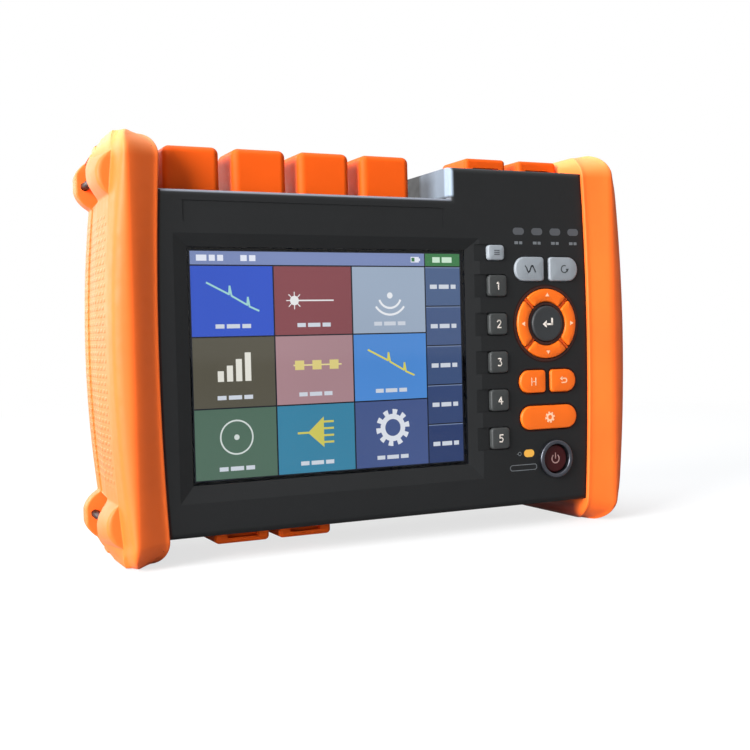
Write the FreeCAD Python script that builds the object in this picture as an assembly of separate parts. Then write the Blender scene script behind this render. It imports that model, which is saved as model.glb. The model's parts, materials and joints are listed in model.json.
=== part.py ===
"""Optical time domain reflectometer: a handheld fibre tester between two rubber bumpers.

Millimetres, +Z up, +X to the right of someone who faces the screen, which looks along -Y.
The origin is the middle of the footprint, so the bumpers stand on Z = 0.
"""
import FreeCAD, Part
import math
import os

V = FreeCAD.Vector
ALONG_X = V(1, 0, 0)
ALONG_Y = V(0, 1, 0)

# Overall size
HEIGHT = 150.0
DEPTH = 70.0
NOSE_PROUD = 5.0        # bumper nose ahead of the front face
TAIL_PROUD = 3.0        # bumper tail behind the back face
FACE_Y = -DEPTH / 2 + NOSE_PROUD
BACK_Y = DEPTH / 2 - TAIL_PROUD
SPLIT_Y = FACE_Y + 23.0  # joint between the front and rear housings
MID_Z = HEIGHT / 2

# Port caps on the deck
CAP_COUNT = 4
CAP_PITCH = 25.3
CAP_W, CAP_D, CAP_H = 20.4, 20.0, 16.2
CAP_LIFT = 0.3
CAP_R = 2.6
CAP_HOLLOW_W = 13.0
CAP_HOLLOW_FRONT = 2.6
CAP_HOLLOW_REAR = 3.4
CAP_HOLLOW_H = 11.7
CAP_SETBACK = 9.0       # from the front face to the caps
HINGE_BACK = 2.2        # axis behind the cap
HINGE_UP = 2.0          # axis above the panel
KNUCKLE_W = 8.0
KNUCKLE_SINK = 1.0      # how far a knuckle's bridge runs into its cap
LUG_GAP = 0.3
HINGE_LUG_W = 3.0
HINGE_R = 1.9
ROD_R = 1.0
ROD_CLEAR = 0.05
PANEL_T = 3.0
PANEL_SETBACK = 1.0     # panel's front edge behind the front of its caps

# Display
SCREEN_W = 108.2
SCREEN_H = 81.0
SCREEN_Z = 68.8
SCREEN_BORDER = 1.0     # clear glass round the picture
BEZEL_LEFT, BEZEL_RIGHT, BEZEL_BOTTOM, BEZEL_TOP = 5.2, 5.8, 6.0, 4.6
BEZEL_DEPTH = 1.6
WINDOW_SEAT = 2.0       # depth of the window's front below the face
WINDOW_OVERLAP = 3.0
WINDOW_T = 1.2
DISPLAY_T = 6.0

# Layout from left to right: the front face, and the row on top of it
FACE_LEFT = 11.0        # bumper to picture
KEYPAD_GAP = 10.2       # picture to soft keys
KEYPAD_W = 41.9         # soft keys' left side to the grey keys' right side
FACE_RIGHT = 4.7        # grey keys to bumper
TOP_LEFT = 4.8          # bumper to the first port cap
HUMP_GAP = 12.5         # last port cap to the raised part
HUMP_W = 62.4
CAPS_ROW = (CAP_COUNT - 1) * CAP_PITCH + CAP_W
FRONT_ROW = FACE_LEFT + SCREEN_W + KEYPAD_GAP + KEYPAD_W + FACE_RIGHT
TOP_ROW = TOP_LEFT + CAPS_ROW + HUMP_GAP + HUMP_W
HALF_FACE = max(FRONT_ROW, TOP_ROW) / 2     # middle to the bumper's inner edge, at mid-height
SCREEN_X = -HALF_FACE + FACE_LEFT + SCREEN_W / 2
KEYPAD_X = HALF_FACE - FACE_RIGHT - KEYPAD_W
CAP_X = -HALF_FACE + TOP_LEFT + CAP_W / 2
HUMP_LEFT = CAP_X - CAP_W / 2 + CAPS_ROW + HUMP_GAP

# Bumpers, described for the right-hand one
BUMPER_W = 17.5         # at mid-height
BUMPER_BOW = 2.3        # how far the inner edge bows outwards at mid-height
BUMPER_SIDE_BOW = 3.6   # the same of the side
BUMPER_IN_MID = HALF_FACE
BUMPER_IN_END = BUMPER_IN_MID - BUMPER_BOW
BUMPER_SIDE_MID = HALF_FACE + BUMPER_W
BUMPER_SIDE_END = BUMPER_SIDE_MID - BUMPER_SIDE_BOW
BUMPER_CORNER = 12.0    # rise of the outer corner
BUMPER_CORNER_RUN = 4.6
SOLE_W = 6.0            # flat sole that stands on the table
BUMPER_SOLE_OUT = BUMPER_SIDE_END - BUMPER_CORNER_RUN
BUMPER_SOLE_IN = BUMPER_SOLE_OUT - SOLE_W
BUMPER_INNER_RISE = 3.2
CREST_X = BUMPER_SIDE_MID - 7.0
LIP_PROUD = 1.5
SHOULDER_DEPTH = 7.5    # from the crest back to the flat side
SIDE_DRAFT = 1.2
TAIL_SIDE_Y = BACK_Y - 12.0    # the side starts to turn in here
TAIL_CORNER_X = BUMPER_SIDE_MID - 4.0
TAIL_CORNER_DEPTH = 5.0
TAIL_CROWN_X = BUMPER_SIDE_MID - 10.0
NOSE_CUT_BACK = 3.0     # slope off the nose's inner corner: behind the crest, along the lip and down it
NOSE_CUT_LIP = 1.0
NOSE_CUT_DROP = 6.0
NOSE_CUT_RUN = 20.5
NOSE_R = 7.0            # rounding of the nose at the top and the bottom, seen from the side
TAIL_R = 14.0           # the same of the tail
TAIL_BOW = 6.0          # how far the side bows where the tail starts
TAIL_SLANT = 0.12       # how fast that bowed side closes in towards the back
LUG_R = 9.0             # half-round strap lugs
LUG_PROUD = 2.0         # their crown outside the side at mid-height
LUG_X = BUMPER_SIDE_MID + LUG_PROUD - LUG_R
LUG_Z = 60.0            # above and below mid-height
FRONT_LUG = (FACE_Y + 5.0, FACE_Y + 24.0)
REAR_LUG = (FACE_Y + 41.0, FACE_Y + 49.0)
POCKET_FLOOR = BUMPER_SIDE_MID - 7.8
POCKET_HALF = 7.7
POCKET_CORNER = 2.0
POCKET_SKIN = 2.7       # rubber between the pocket and the housing
STRAP_PIN_X = BUMPER_SIDE_MID - 1.2
STRAP_PIN_R = 1.5
STRAP_PIN_FRONT, STRAP_PIN_REAR = 4.0, 2.0     # rubber beyond the pin's ends

# Housing
WALL = 3.0
HOUSING_BOTTOM = 9.3
DECK_Z = 130.0          # flat top that carries the port caps
HUMP_Z = 142.0
END_X = POCKET_FLOOR - POCKET_SKIN     # housing end, inside the bumper
END_BLOCK_X = HALF_FACE + 1.5          # the housing is taller from here outwards
END_BLOCK_BOTTOM = 6.0
END_BLOCK_TOP = 144.0
EDGE_R = 2.2
BACK_R = 2.6
BOSS_R = 4.2
BOSS_X = HALF_FACE - 6.0
BOSSES = ((-BOSS_X, 18.0), (BOSS_X, 18.0), (-BOSS_X, 119.0), (HUMP_LEFT - 6.6, 120.0), (BOSS_X - 2.0, 126.0))
SCREW_R = 1.5
SCREW_HEAD_R = 2.8
SCREW_HEAD = 2.0
SCREW_SINK = 0.5        # head below the back face
SCREW_TIP_GAP = 8.5     # blind hole's end to the screw's tip
SCREW_LENGTH = DEPTH - NOSE_PROUD - TAIL_PROUD - SCREW_SINK - SCREW_HEAD - 2 * WALL - SCREW_TIP_GAP
NAME_BAND = (-HALF_FACE + 8.4, HUMP_LEFT - 3.0, 118.9, 126.2)
NAME_BAND_DEPTH = 0.3

# Keys
KEY_GAP = 0.3
KEY_PROUD = 1.3
KEY_TRAVEL = 1.0
FLANGE = 0.8
FLANGE_T = 0.8
KEY_EDGE = 0.5
SOFT_X = (KEYPAD_X, KEYPAD_X + 8.2)
SOFT_H = 8.4
SOFT_PITCH = 14.95
SOFT_TOP_Z = 96.5
SOFT_COUNT = 5
CHANNEL_DEPTH = 0.6
MENU_BOX = (KEYPAD_X, KEYPAD_X + 7.4, 106.5, 112.4)
GREY_BOXES = (
    (KEYPAD_X + 12.2, KEYPAD_X + 25.8, 98.3, 107.9),
    (KEYPAD_X + 28.3, KEYPAD_X + 41.9, 98.3, 107.9),
)
ORANGE_BOXES = (
    (KEYPAD_X + 13.6, KEYPAD_X + 25.6, 53.9, 62.9),
    (KEYPAD_X + 28.0, KEYPAD_X + 40.0, 53.9, 62.9),
)
PILL_BOX = (KEYPAD_X + 13.8, KEYPAD_X + 40.2, 39.2, 48.6)
KEY_CORNER = 1.4
RING_X, RING_Z = KEYPAD_X + 26.8, 81.4
RING_R = 13.9
RING_IN = 8.8
RIM_T = 0.9
RIB_T = 0.9
ENTER_R = 7.2
POWER_X, POWER_Z = KEYPAD_X + 29.8, 27.0
POWER_R = 5.6
POWER_RING_R = 7.6
POWER_RING_PROUD = 1.8
LENS_X, LENS_PITCH, LENS_Z = KEYPAD_X + 14.6, 8.66, 118.0
LENS_COUNT = 4
LENS_W, LENS_H = 5.2, 2.8
CHARGE_X, CHARGE_Z = KEYPAD_X + 17.6, 29.9
CHARGE_W, CHARGE_H = 4.8, 3.0
MAT_T = 1.2
BOARD_T = 1.6

# Places of the port caps in depth
CAP_FRONT = FACE_Y + CAP_SETBACK

# Optical adapters under the caps
ADAPTER_FLANGE = 12.0
ADAPTER_FLANGE_T = 2.0
ADAPTER_R = 4.5
ADAPTER_H = 10.0
ADAPTER_TAIL_R = 3.4
ADAPTER_TAIL = 9.0
ADAPTER_LIP = 1.2       # wall round the ring groove in the mouth
ADAPTER_GROOVE = 2.5
SLEEVE_T = 0.9
FERRULE_R = 1.25
FERRULE_DEPTH = 12.0
ADAPTER_KEY_W = 2.0

# Low covers over the service jacks, on the hump and under the housing
COVER_D = 20.0
TOP_COVER_PITCH, TOP_COVER_W = 24.8, 18.8
TOP_COVER_X = HALF_FACE - 3.0 - TOP_COVER_W / 2 - TOP_COVER_PITCH
TOP_COVER_H = 6.2
TOP_COVER_FRONT = FACE_Y + 15.0
LOW_COVER_PITCH, LOW_COVER_W = 24.3, 20.4
LOW_COVER_X = -HALF_FACE + 30.0
LOW_COVER_H = 4.4
LOW_COVER_FRONT = FACE_Y + 9.0
COVER_COUNT = 2
COVER_R = 1.6
NOTCH_W, NOTCH_D = 12.0, 2.6
NOTCH_H = 2.4
COVER_HINGE_UP = 2.0
JACK_D = 9.0
JACK_BODY = 11.0
JACK_PIN_R = 1.0
JACK_SIZES = {          # half width and half depth of the body, then of its opening
    "wide": (7.6, 3.6, 6.2, 1.1),
    "small": (5.0, 3.0, 3.9, 1.5),
    "round": (4.5, 4.5, 2.8, 2.8),
    "slot": (8.2, 2.6, 7.0, 1.0),
}

# Rear: battery, door and tilt stand
DOOR_X, DOOR_Z0, DOOR_Z1 = 42.0, 25.5, 73.5
DOOR_T = 2.0
DOOR_LIP = 2.0
DOOR_GAP = 0.2
BAY_DEPTH = 21.0
BAY_WALL = 2.0
BATTERY_GAP = 0.5
BATTERY_R = 3.0
DOOR_SCREW_IN = 4.5
DOOR_SCREW_DEPTH = 2.5
DOOR_SCREW_HEAD = 1.0
STAND_ARM = 8.0
STAND_CLEAR = 4.0       # battery door to the stand's arms
STAND_HALF = DOOR_X + STAND_CLEAR + STAND_ARM
STAND_T = 4.0
STAND_SINK = 0.4        # stand's outer face below the back face
STAND_BOTTOM = 14.6
STAND_FOOT_H = 7.6
STAND_CORNER = 2.0
STAND_PIVOT_Z = 82.0
STAND_PIN_R = 1.6
STAND_PIN_L = 3.0
STAND_PIN_ROOT = 2.0
STAND_PIN_GAP = 0.3
GROOVE_GAP = 0.3
GROOVE_SKIN = 2.2
FINGER_W = 20.0
FINGER_D = 6.4
FINGER_LAP = 2.0        # notch ends this far below the top of the stand's foot

# Inner pieces
MODULE_LEFT, MODULE_RIGHT = -HALF_FACE + 4.0, HUMP_LEFT - 11.6
MODULE_BOTTOM = 92.0
MODULE_BACK = BACK_Y - 20.0


def box(x0, x1, y0, y1, z0, z1):
    return Part.makeBox(x1 - x0, y1 - y0, z1 - z0, V(x0, y0, z0))


def rod(radius, start, end):
    """Cylinder from one point to another."""
    run = end.sub(start)
    return Part.makeCylinder(radius, run.Length, start, run)


def fuse(shapes):
    """One solid from shapes that touch or overlap."""
    result = shapes[0].multiFuse(shapes[1:]) if len(shapes) > 1 else shapes[0]
    return result.removeSplitter()


def cut(shape, tools):
    return shape.cut(tools) if tools else shape


def arc(start, middle, end):
    return Part.Arc(start, middle, end).toShape()


def line(start, end):
    return Part.LineSegment(start, end).toShape()


def closed_face(edges):
    return Part.Face(Part.Wire(Part.__sortEdges__(edges)))


def outline(x0, x1, z0, z1, left_r, right_r, y):
    """Face in a plane of constant Y: a rectangle with one radius for each side's corners."""
    half = (z1 - z0) / 2
    left_r, right_r = min(left_r, half), min(right_r, half)
    k = 1 - math.sqrt(0.5)
    corners = (
        (V(x0, y, z0 + left_r), V(x0 + k * left_r, y, z0 + k * left_r), V(x0 + left_r, y, z0)),
        (V(x1 - right_r, y, z0), V(x1 - k * right_r, y, z0 + k * right_r), V(x1, y, z0 + right_r)),
        (V(x1, y, z1 - right_r), V(x1 - k * right_r, y, z1 - k * right_r), V(x1 - right_r, y, z1)),
        (V(x0 + left_r, y, z1), V(x0 + k * left_r, y, z1 - k * left_r), V(x0, y, z1 - left_r)),
    )
    edges = []
    for index, (start, middle, end) in enumerate(corners):
        edges.append(arc(start, middle, end))
        following = corners[(index + 1) % 4][0]
        if end.distanceToPoint(following) > 1e-6:
            edges.append(line(end, following))
    return closed_face(edges)


def slab(rect, radii, y0, y1, grow=0.0):
    """Rounded plate from y0 to y1, its outline grown by the given amount on every side."""
    x0, x1, z0, z1 = rect
    face = outline(x0 - grow, x1 + grow, z0 - grow, z1 + grow, radii[0] + grow, radii[1] + grow, y0)
    return face.extrude(V(0, y1 - y0, 0))


def edges_where(shape, test):
    """Edges whose every vertex passes the test."""
    return [edge for edge in shape.Edges if all(test(vertex.Point) for vertex in edge.Vertexes)]


def near(a, b):
    return abs(a - b) < 1e-4


def prism(points, y0, y1):
    corners = [V(x, y0, z) for x, z in points]
    return Part.Face(Part.makePolygon(corners + corners[:1])).extrude(V(0, y1 - y0, 0))


# Housing

def housing_points(inset=0.0):
    """Front view of the housing, as corners; the ends are taller inside the bumpers."""
    left, right = -END_X + inset, END_X - inset
    block = END_BLOCK_X + inset
    bottom, low = HOUSING_BOTTOM + inset, END_BLOCK_BOTTOM + inset
    deck, hump, high = DECK_Z - inset, HUMP_Z - inset, END_BLOCK_TOP - inset
    step = HUMP_LEFT + inset
    return [(left, low), (-block, low), (-block, bottom), (block, bottom), (block, low), (right, low),
            (right, high), (block, high), (block, hump), (step, hump), (step, deck), (-block, deck),
            (-block, high), (left, high)]


def hollow_points():
    """Cavity inside the walls, without the taller ends."""
    left, right = -END_X + WALL, END_X - WALL
    bottom, deck, hump = HOUSING_BOTTOM + WALL, DECK_Z - WALL, HUMP_Z - WALL
    step = HUMP_LEFT + WALL
    return [(left, bottom), (right, bottom), (right, hump), (step, hump), (step, deck), (left, deck)]


def is_outer_rim(point):
    """True on the visible rim of the deck, the hump and the underside, between the bumpers."""
    return abs(point.x) < END_BLOCK_X + 1e-4 and (
        near(point.z, DECK_Z) or near(point.z, HUMP_Z) or near(point.z, HOUSING_BOTTOM))


def front_envelope():
    shell = prism(housing_points(), FACE_Y, SPLIT_Y)
    rims = edges_where(shell, lambda p: near(p.y, FACE_Y) and is_outer_rim(p))
    upright = edges_where(shell, lambda p: near(p.x, HUMP_LEFT) and near(p.y, FACE_Y))
    new = [edge for edge in upright if not any(edge.isSame(rim) for rim in rims)]
    return shell.makeFillet(EDGE_R, rims + new)


def rear_envelope():
    shell = prism(housing_points(), SPLIT_Y, BACK_Y)
    rims = edges_where(shell, lambda p: near(p.y, BACK_Y) and is_outer_rim(p))
    return shell.makeFillet(BACK_R, rims)


def screen_rect(grow=0.0):
    return (SCREEN_X - SCREEN_W / 2 - grow, SCREEN_X + SCREEN_W / 2 + grow,
            SCREEN_Z - SCREEN_H / 2 - grow, SCREEN_Z + SCREEN_H / 2 + grow)


def bezel_outer():
    x0, x1, z0, z1 = screen_rect(SCREEN_BORDER)
    return (x0 - BEZEL_LEFT, x1 + BEZEL_RIGHT, z0 - BEZEL_BOTTOM, z1 + BEZEL_TOP)


def screen_opening():
    """Chamfered bezel, straight throat and the window's seat behind it."""
    def ring(rect, y):
        x0, x1, z0, z1 = rect
        return Part.makePolygon([V(x0, y, z0), V(x1, y, z0), V(x1, y, z1), V(x0, y, z1), V(x0, y, z0)])
    inner = screen_rect(SCREEN_BORDER)
    slope = Part.makeLoft([ring(bezel_outer(), FACE_Y), ring(inner, FACE_Y + BEZEL_DEPTH)], True, True)
    throat = box(inner[0], inner[1], FACE_Y + BEZEL_DEPTH, FACE_Y + WALL, inner[2], inner[3])
    x0, x1, z0, z1 = window_rect()
    seat = box(x0, x1, FACE_Y + WINDOW_SEAT, FACE_Y + WALL, z0, z1)
    return [slope, throat, seat]


def window_rect():
    return screen_rect(SCREEN_BORDER + WINDOW_OVERLAP)


def soft_key_rects():
    """The menu key's box, then the five soft keys from the top down."""
    rects = [MENU_BOX]
    for index in range(SOFT_COUNT):
        z = SOFT_TOP_Z - index * SOFT_PITCH
        rects.append((SOFT_X[0], SOFT_X[1], z - SOFT_H / 2, z + SOFT_H / 2))
    return rects


def flat_keys():
    """Every key with a straight-sided outline: name, box, left and right corner radius."""
    full = HEIGHT
    keys = [("menu_key", MENU_BOX, KEY_CORNER, KEY_CORNER)]
    for index, rect in enumerate(soft_key_rects()[1:], start=1):
        keys.append((f"soft_key_{index}", rect, KEY_CORNER / 2, KEY_CORNER / 2))
    keys.append(("mode_key_left", GREY_BOXES[0], full, KEY_CORNER))
    keys.append(("mode_key_right", GREY_BOXES[1], KEY_CORNER, full))
    keys.append(("marker_key", ORANGE_BOXES[0], full, KEY_CORNER))
    keys.append(("escape_key", ORANGE_BOXES[1], KEY_CORNER, full))
    keys.append(("setup_key", PILL_BOX, full, full))
    return keys


def lens_rects():
    centres = [(LENS_X + index * LENS_PITCH, LENS_Z) for index in range(LENS_COUNT)]
    return [(x - LENS_W / 2, x + LENS_W / 2, z - LENS_H / 2, z + LENS_H / 2) for x, z in centres]


def charge_rect():
    half_w, half_h = CHARGE_W / 2, CHARGE_H / 2
    return (CHARGE_X - half_w, CHARGE_X + half_w, CHARGE_Z - half_h, CHARGE_Z + half_h)


def channels():
    """Shallow tracks from the bezel to the menu key and to each soft key."""
    start = bezel_outer()[1] - BEZEL_RIGHT / 2
    tracks = []
    for x0, x1, z0, z1 in soft_key_rects():
        tracks.append(box(start, x0 + KEY_CORNER, FACE_Y, FACE_Y + CHANNEL_DEPTH, z0 - KEY_GAP, z1 + KEY_GAP))
    return tracks


def wall_hole(radius, x, z):
    return rod(radius, V(x, FACE_Y, z), V(x, FACE_Y + WALL, z))


def front_housing():
    shell = front_envelope().cut(prism(hollow_points(), FACE_Y + WALL, SPLIT_Y))
    posts = []
    for x, z in BOSSES:
        posts.append(rod(BOSS_R, V(x, FACE_Y + WALL, z), V(x, SPLIT_Y, z)))
    shell = fuse([shell] + posts)
    tools = screen_opening() + channels()
    x0, x1, z0, z1 = NAME_BAND
    tools.append(box(x0, x1, FACE_Y, FACE_Y + NAME_BAND_DEPTH, z0, z1))
    for name, rect, left_r, right_r in flat_keys():
        tools.append(slab(rect, (left_r, right_r), FACE_Y, FACE_Y + WALL, KEY_GAP))
    tools.append(wall_hole(web_radius(), RING_X, RING_Z))
    tools.append(wall_hole(power_neck_radius(), POWER_X, POWER_Z))
    for rect in lens_rects() + [charge_rect()]:
        tools.append(slab(rect, (HEIGHT, HEIGHT), FACE_Y, FACE_Y + WALL))
    for x, z in BOSSES:
        tools.append(rod(SCREW_R, V(x, FACE_Y + 2 * WALL, z), V(x, SPLIT_Y, z)))
    tools += [port_panel_block(), top_panel_block(), low_panel_block()]
    return cut(shell, tools)


# Keys

def key_solid(rect, left_r, right_r):
    """Key cap through the wall, with a retaining flange behind it."""
    cap = slab(rect, (left_r, right_r), FACE_Y - KEY_PROUD, flange_front() + FLANGE_T)
    rim = edges_where(cap, lambda p: near(p.y, FACE_Y - KEY_PROUD))
    cap = cap.makeFillet(KEY_EDGE, rim)
    flange = slab(rect, (left_r, right_r), flange_front(), flange_front() + FLANGE_T, FLANGE)
    return fuse([cap, flange])


def flange_front():
    return FACE_Y + WALL + KEY_GAP


def key_back():
    return flange_front() + FLANGE_T


def web_radius():
    return RING_R + KEY_GAP + RIM_T


def ring_web():
    """Fixed rim round the arrow keys, with four ribs on the diagonals and a collar for the enter key."""
    y0, y1 = FACE_Y - KEY_GAP, FACE_Y + WALL
    def tube(outer, inner):
        return wall_tube(RING_X, RING_Z, outer, inner, y0, y1)
    pieces = [tube(web_radius(), RING_R + KEY_GAP), tube(RING_IN - KEY_GAP, ENTER_R + KEY_GAP)]
    middle = (ENTER_R + KEY_GAP + RING_IN - KEY_GAP) / 2
    for turn in range(4):
        rib = box(middle, RING_R + KEY_GAP + RIM_T / 2, y0, y1, -RIB_T / 2, RIB_T / 2)
        rib.rotate(V(0, 0, 0), ALONG_Y, 45 + 90 * turn)
        rib.translate(V(RING_X, 0, RING_Z))
        pieces.append(rib)
    return fuse(pieces)


def wall_tube(x, z, outer, inner, y0, y1):
    return rod(outer, V(x, y0, z), V(x, y1, z)).cut(rod(inner, V(x, y0, z), V(x, y1, z)))


def sector(outer, inner, y0, y1, side_gap):
    """Quarter of a ring that points along +X, its sides parallel to the ribs."""
    ring = wall_tube(0, 0, outer, inner, y0, y1)
    reach = 2 * outer
    shift = side_gap * math.sqrt(2)
    tip = V(shift, y0, 0)
    wedge = Part.Face(Part.makePolygon([tip, V(shift + reach, y0, reach), V(shift + reach, y0, -reach), tip]))
    return ring.common(wedge.extrude(V(0, y1 - y0, 0)))


def arrow_key(turns):
    side_gap = RIB_T / 2 + KEY_GAP
    cap = sector(RING_R, RING_IN, FACE_Y - KEY_PROUD, key_back(), side_gap)
    rim = edges_where(cap, lambda p: near(p.y, FACE_Y - KEY_PROUD))
    cap = cap.makeFillet(KEY_EDGE, rim)
    flange = sector(RING_R + FLANGE, RING_IN, flange_front(), key_back(), side_gap)
    key = fuse([cap, flange])
    key.rotate(V(0, 0, 0), ALONG_Y, -90 * turns)
    key.translate(V(RING_X, 0, RING_Z))
    return key


def round_key(x, z, radius, proud):
    cap = rod(radius, V(x, FACE_Y - proud, z), V(x, key_back(), z))
    rim = edges_where(cap, lambda p: near(p.y, FACE_Y - proud))
    cap = cap.makeFillet(KEY_EDGE, rim)
    flange = rod(radius + FLANGE, V(x, flange_front(), z), V(x, key_back(), z))
    return fuse([cap, flange])


def power_neck_radius():
    return POWER_R + KEY_GAP + RIM_T


def power_ring():
    """Raised bezel round the power key: a collar with rounded rims, and a neck in the wall."""
    inner = POWER_R + KEY_GAP
    collar = wall_tube(POWER_X, POWER_Z, POWER_RING_R, inner, FACE_Y - POWER_RING_PROUD, FACE_Y)
    rims = edges_where(collar, lambda p: near(p.y, FACE_Y - POWER_RING_PROUD))
    collar = collar.makeFillet(KEY_EDGE, rims)
    neck = wall_tube(POWER_X, POWER_Z, power_neck_radius(), inner, FACE_Y, FACE_Y + WALL)
    return fuse([collar, neck])


def mat_front():
    return key_back() + KEY_TRAVEL + KEY_GAP


def key_field():
    """Box round all the keys, in X and Z."""
    return (SOFT_X[0] - FLANGE, GREY_BOXES[1][1] + FLANGE, POWER_Z - POWER_R - FLANGE, MENU_BOX[3] + FLANGE)


def key_mat():
    x0, x1, z0, z1 = key_field()
    sheet = box(x0, x1, mat_front(), mat_front() + MAT_T, z0, z1)
    clear = [rod(BOSS_R + KEY_GAP, V(x, mat_front(), z), V(x, mat_front() + MAT_T, z)) for x, z in BOSSES]
    return cut(sheet, clear)


def keypad_board():
    x0, x1, z0, z1 = key_field()
    y0 = mat_front() + MAT_T
    board = box(x0, x1, y0, y0 + BOARD_T, z0, lens_rects()[0][3] + FLANGE)
    clear = [rod(BOSS_R + KEY_GAP, V(x, y0, z), V(x, y0 + BOARD_T, z)) for x, z in BOSSES]
    return cut(board, clear)


def light_guide():
    """Four indicator lenses on one clear bar behind the wall, standing on the keypad board."""
    back = mat_front() + MAT_T
    rects = lens_rects()
    pegs = [slab(rect, (HEIGHT, HEIGHT), FACE_Y, FACE_Y + WALL + KEY_GAP) for rect in rects]
    bar = box(rects[0][0], rects[-1][1], FACE_Y + WALL, back, rects[0][2], rects[0][3])
    return fuse(pegs + [bar])


def charge_lens():
    return slab(charge_rect(), (HEIGHT, HEIGHT), FACE_Y, mat_front())


# Display

def screen_window():
    x0, x1, z0, z1 = window_rect()
    y0 = FACE_Y + WINDOW_SEAT
    return box(x0, x1, y0, y0 + WINDOW_T, z0, z1)


def display_panel():
    x0, x1, z0, z1 = window_rect()
    y0 = FACE_Y + WINDOW_SEAT + WINDOW_T
    return box(x0, x1, y0, y0 + DISPLAY_T, z0, z1)


# Bumpers

def bumper_front_view():
    """Inner and outer edges are shallow arcs, and a flat sole stands on the table."""
    y = -DEPTH
    k = math.sqrt(0.5)
    def turn(z, up):
        """Middle of the outer corner between the sole or top and the side."""
        return V(BUMPER_SOLE_OUT + k * BUMPER_CORNER_RUN, y, z + up * (1 - k) * BUMPER_CORNER)
    inner_low = V(BUMPER_IN_END, y, BUMPER_INNER_RISE)
    inner_high = V(BUMPER_IN_END, y, HEIGHT - BUMPER_INNER_RISE)
    sole_in, sole_out = V(BUMPER_SOLE_IN, y, 0), V(BUMPER_SOLE_OUT, y, 0)
    top_in, top_out = V(BUMPER_SOLE_IN, y, HEIGHT), V(BUMPER_SOLE_OUT, y, HEIGHT)
    side_low = V(BUMPER_SIDE_END, y, BUMPER_CORNER)
    side_high = V(BUMPER_SIDE_END, y, HEIGHT - BUMPER_CORNER)
    edges = [
        arc(inner_low, V(BUMPER_IN_MID, y, MID_Z), inner_high),
        line(inner_high, top_in),
        line(top_in, top_out),
        arc(top_out, turn(HEIGHT, -1), side_high),
        arc(side_high, V(BUMPER_SIDE_MID, y, MID_Z), side_low),
        arc(side_low, turn(0, 1), sole_out),
        line(sole_out, sole_in),
        line(sole_in, inner_low),
    ]
    return closed_face(edges).extrude(V(0, 2 * DEPTH, 0))


def crown_arc(apex, end):
    """Arc that leaves the apex square to Y and runs to the end point."""
    across, drop = end.x - apex.x, end.y - apex.y
    radius = (across ** 2 + drop ** 2) / (2 * abs(drop))
    half_turn = math.atan2(abs(drop), abs(across))
    run, rise = radius * math.sin(half_turn), radius * (1 - math.cos(half_turn))
    middle = V(apex.x + math.copysign(run, across), apex.y + math.copysign(rise, drop), 0)
    return arc(apex, middle, end)


def bumper_plan():
    """Plan view: a crest in front, a side with a little draft and a rounded tail."""
    nose, tail = -DEPTH / 2, DEPTH / 2
    inner = BUMPER_IN_END - WALL
    lip = FACE_Y - LIP_PROUD
    front_lip = V(BUMPER_IN_MID + LIP_PROUD, lip, 0)
    crest = V(CREST_X, nose, 0)
    shoulder = V(BUMPER_SIDE_MID, nose + SHOULDER_DEPTH, 0)
    side_end = V(BUMPER_SIDE_MID - SIDE_DRAFT, TAIL_SIDE_Y, 0)
    tail_crown = V(TAIL_CROWN_X, tail, 0)
    tail_corner = V(TAIL_CORNER_X, tail - TAIL_CORNER_DEPTH, 0)
    edges = [
        line(V(inner, lip, 0), front_lip),
        crown_arc(crest, front_lip),
        crown_arc(crest, shoulder),
        line(shoulder, side_end),
        line(side_end, tail_corner),
        crown_arc(tail_crown, tail_corner),
        line(tail_crown, V(inner, tail, 0)),
        line(V(inner, tail, 0), V(inner, lip, 0)),
    ]
    return closed_face(edges).extrude(V(0, 0, HEIGHT))


def bumper_side_view():
    """Side view: nose and tail are rounded at the top and the bottom."""
    face = Part.Face(Part.makePolygon([
        V(0, -DEPTH / 2, 0), V(0, DEPTH / 2, 0), V(0, DEPTH / 2, HEIGHT), V(0, -DEPTH / 2, HEIGHT),
        V(0, -DEPTH / 2, 0)]))
    block = face.extrude(V(2 * BUMPER_SIDE_MID, 0, 0))
    def corners(y):
        return [edge for z in (0, HEIGHT) for edge in edges_where(block, lambda p: near(p.y, y) and near(p.z, z))]
    block = block.makeFillet(NOSE_R, corners(-DEPTH / 2))
    return block.makeFillet(TAIL_R, corners(DEPTH / 2))


def tail_taper():
    """Bowed side that closes in towards the back, so that the tail is narrow at the top and the bottom."""
    outer = BUMPER_SIDE_MID - SIDE_DRAFT
    low, high = V(outer - TAIL_BOW, TAIL_SIDE_Y, 0), V(outer - TAIL_BOW, TAIL_SIDE_Y, HEIGHT)
    inner_low, inner_high = V(0, TAIL_SIDE_Y, 0), V(0, TAIL_SIDE_Y, HEIGHT)
    face = closed_face([
        arc(low, V(outer, TAIL_SIDE_Y, MID_Z), high), line(high, inner_high), line(inner_high, inner_low),
        line(inner_low, low)])
    face.translate(V(TAIL_SLANT * DEPTH, -DEPTH, 0))
    return face.extrude(V(-2 * TAIL_SLANT * DEPTH, 2 * DEPTH, 0))


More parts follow.
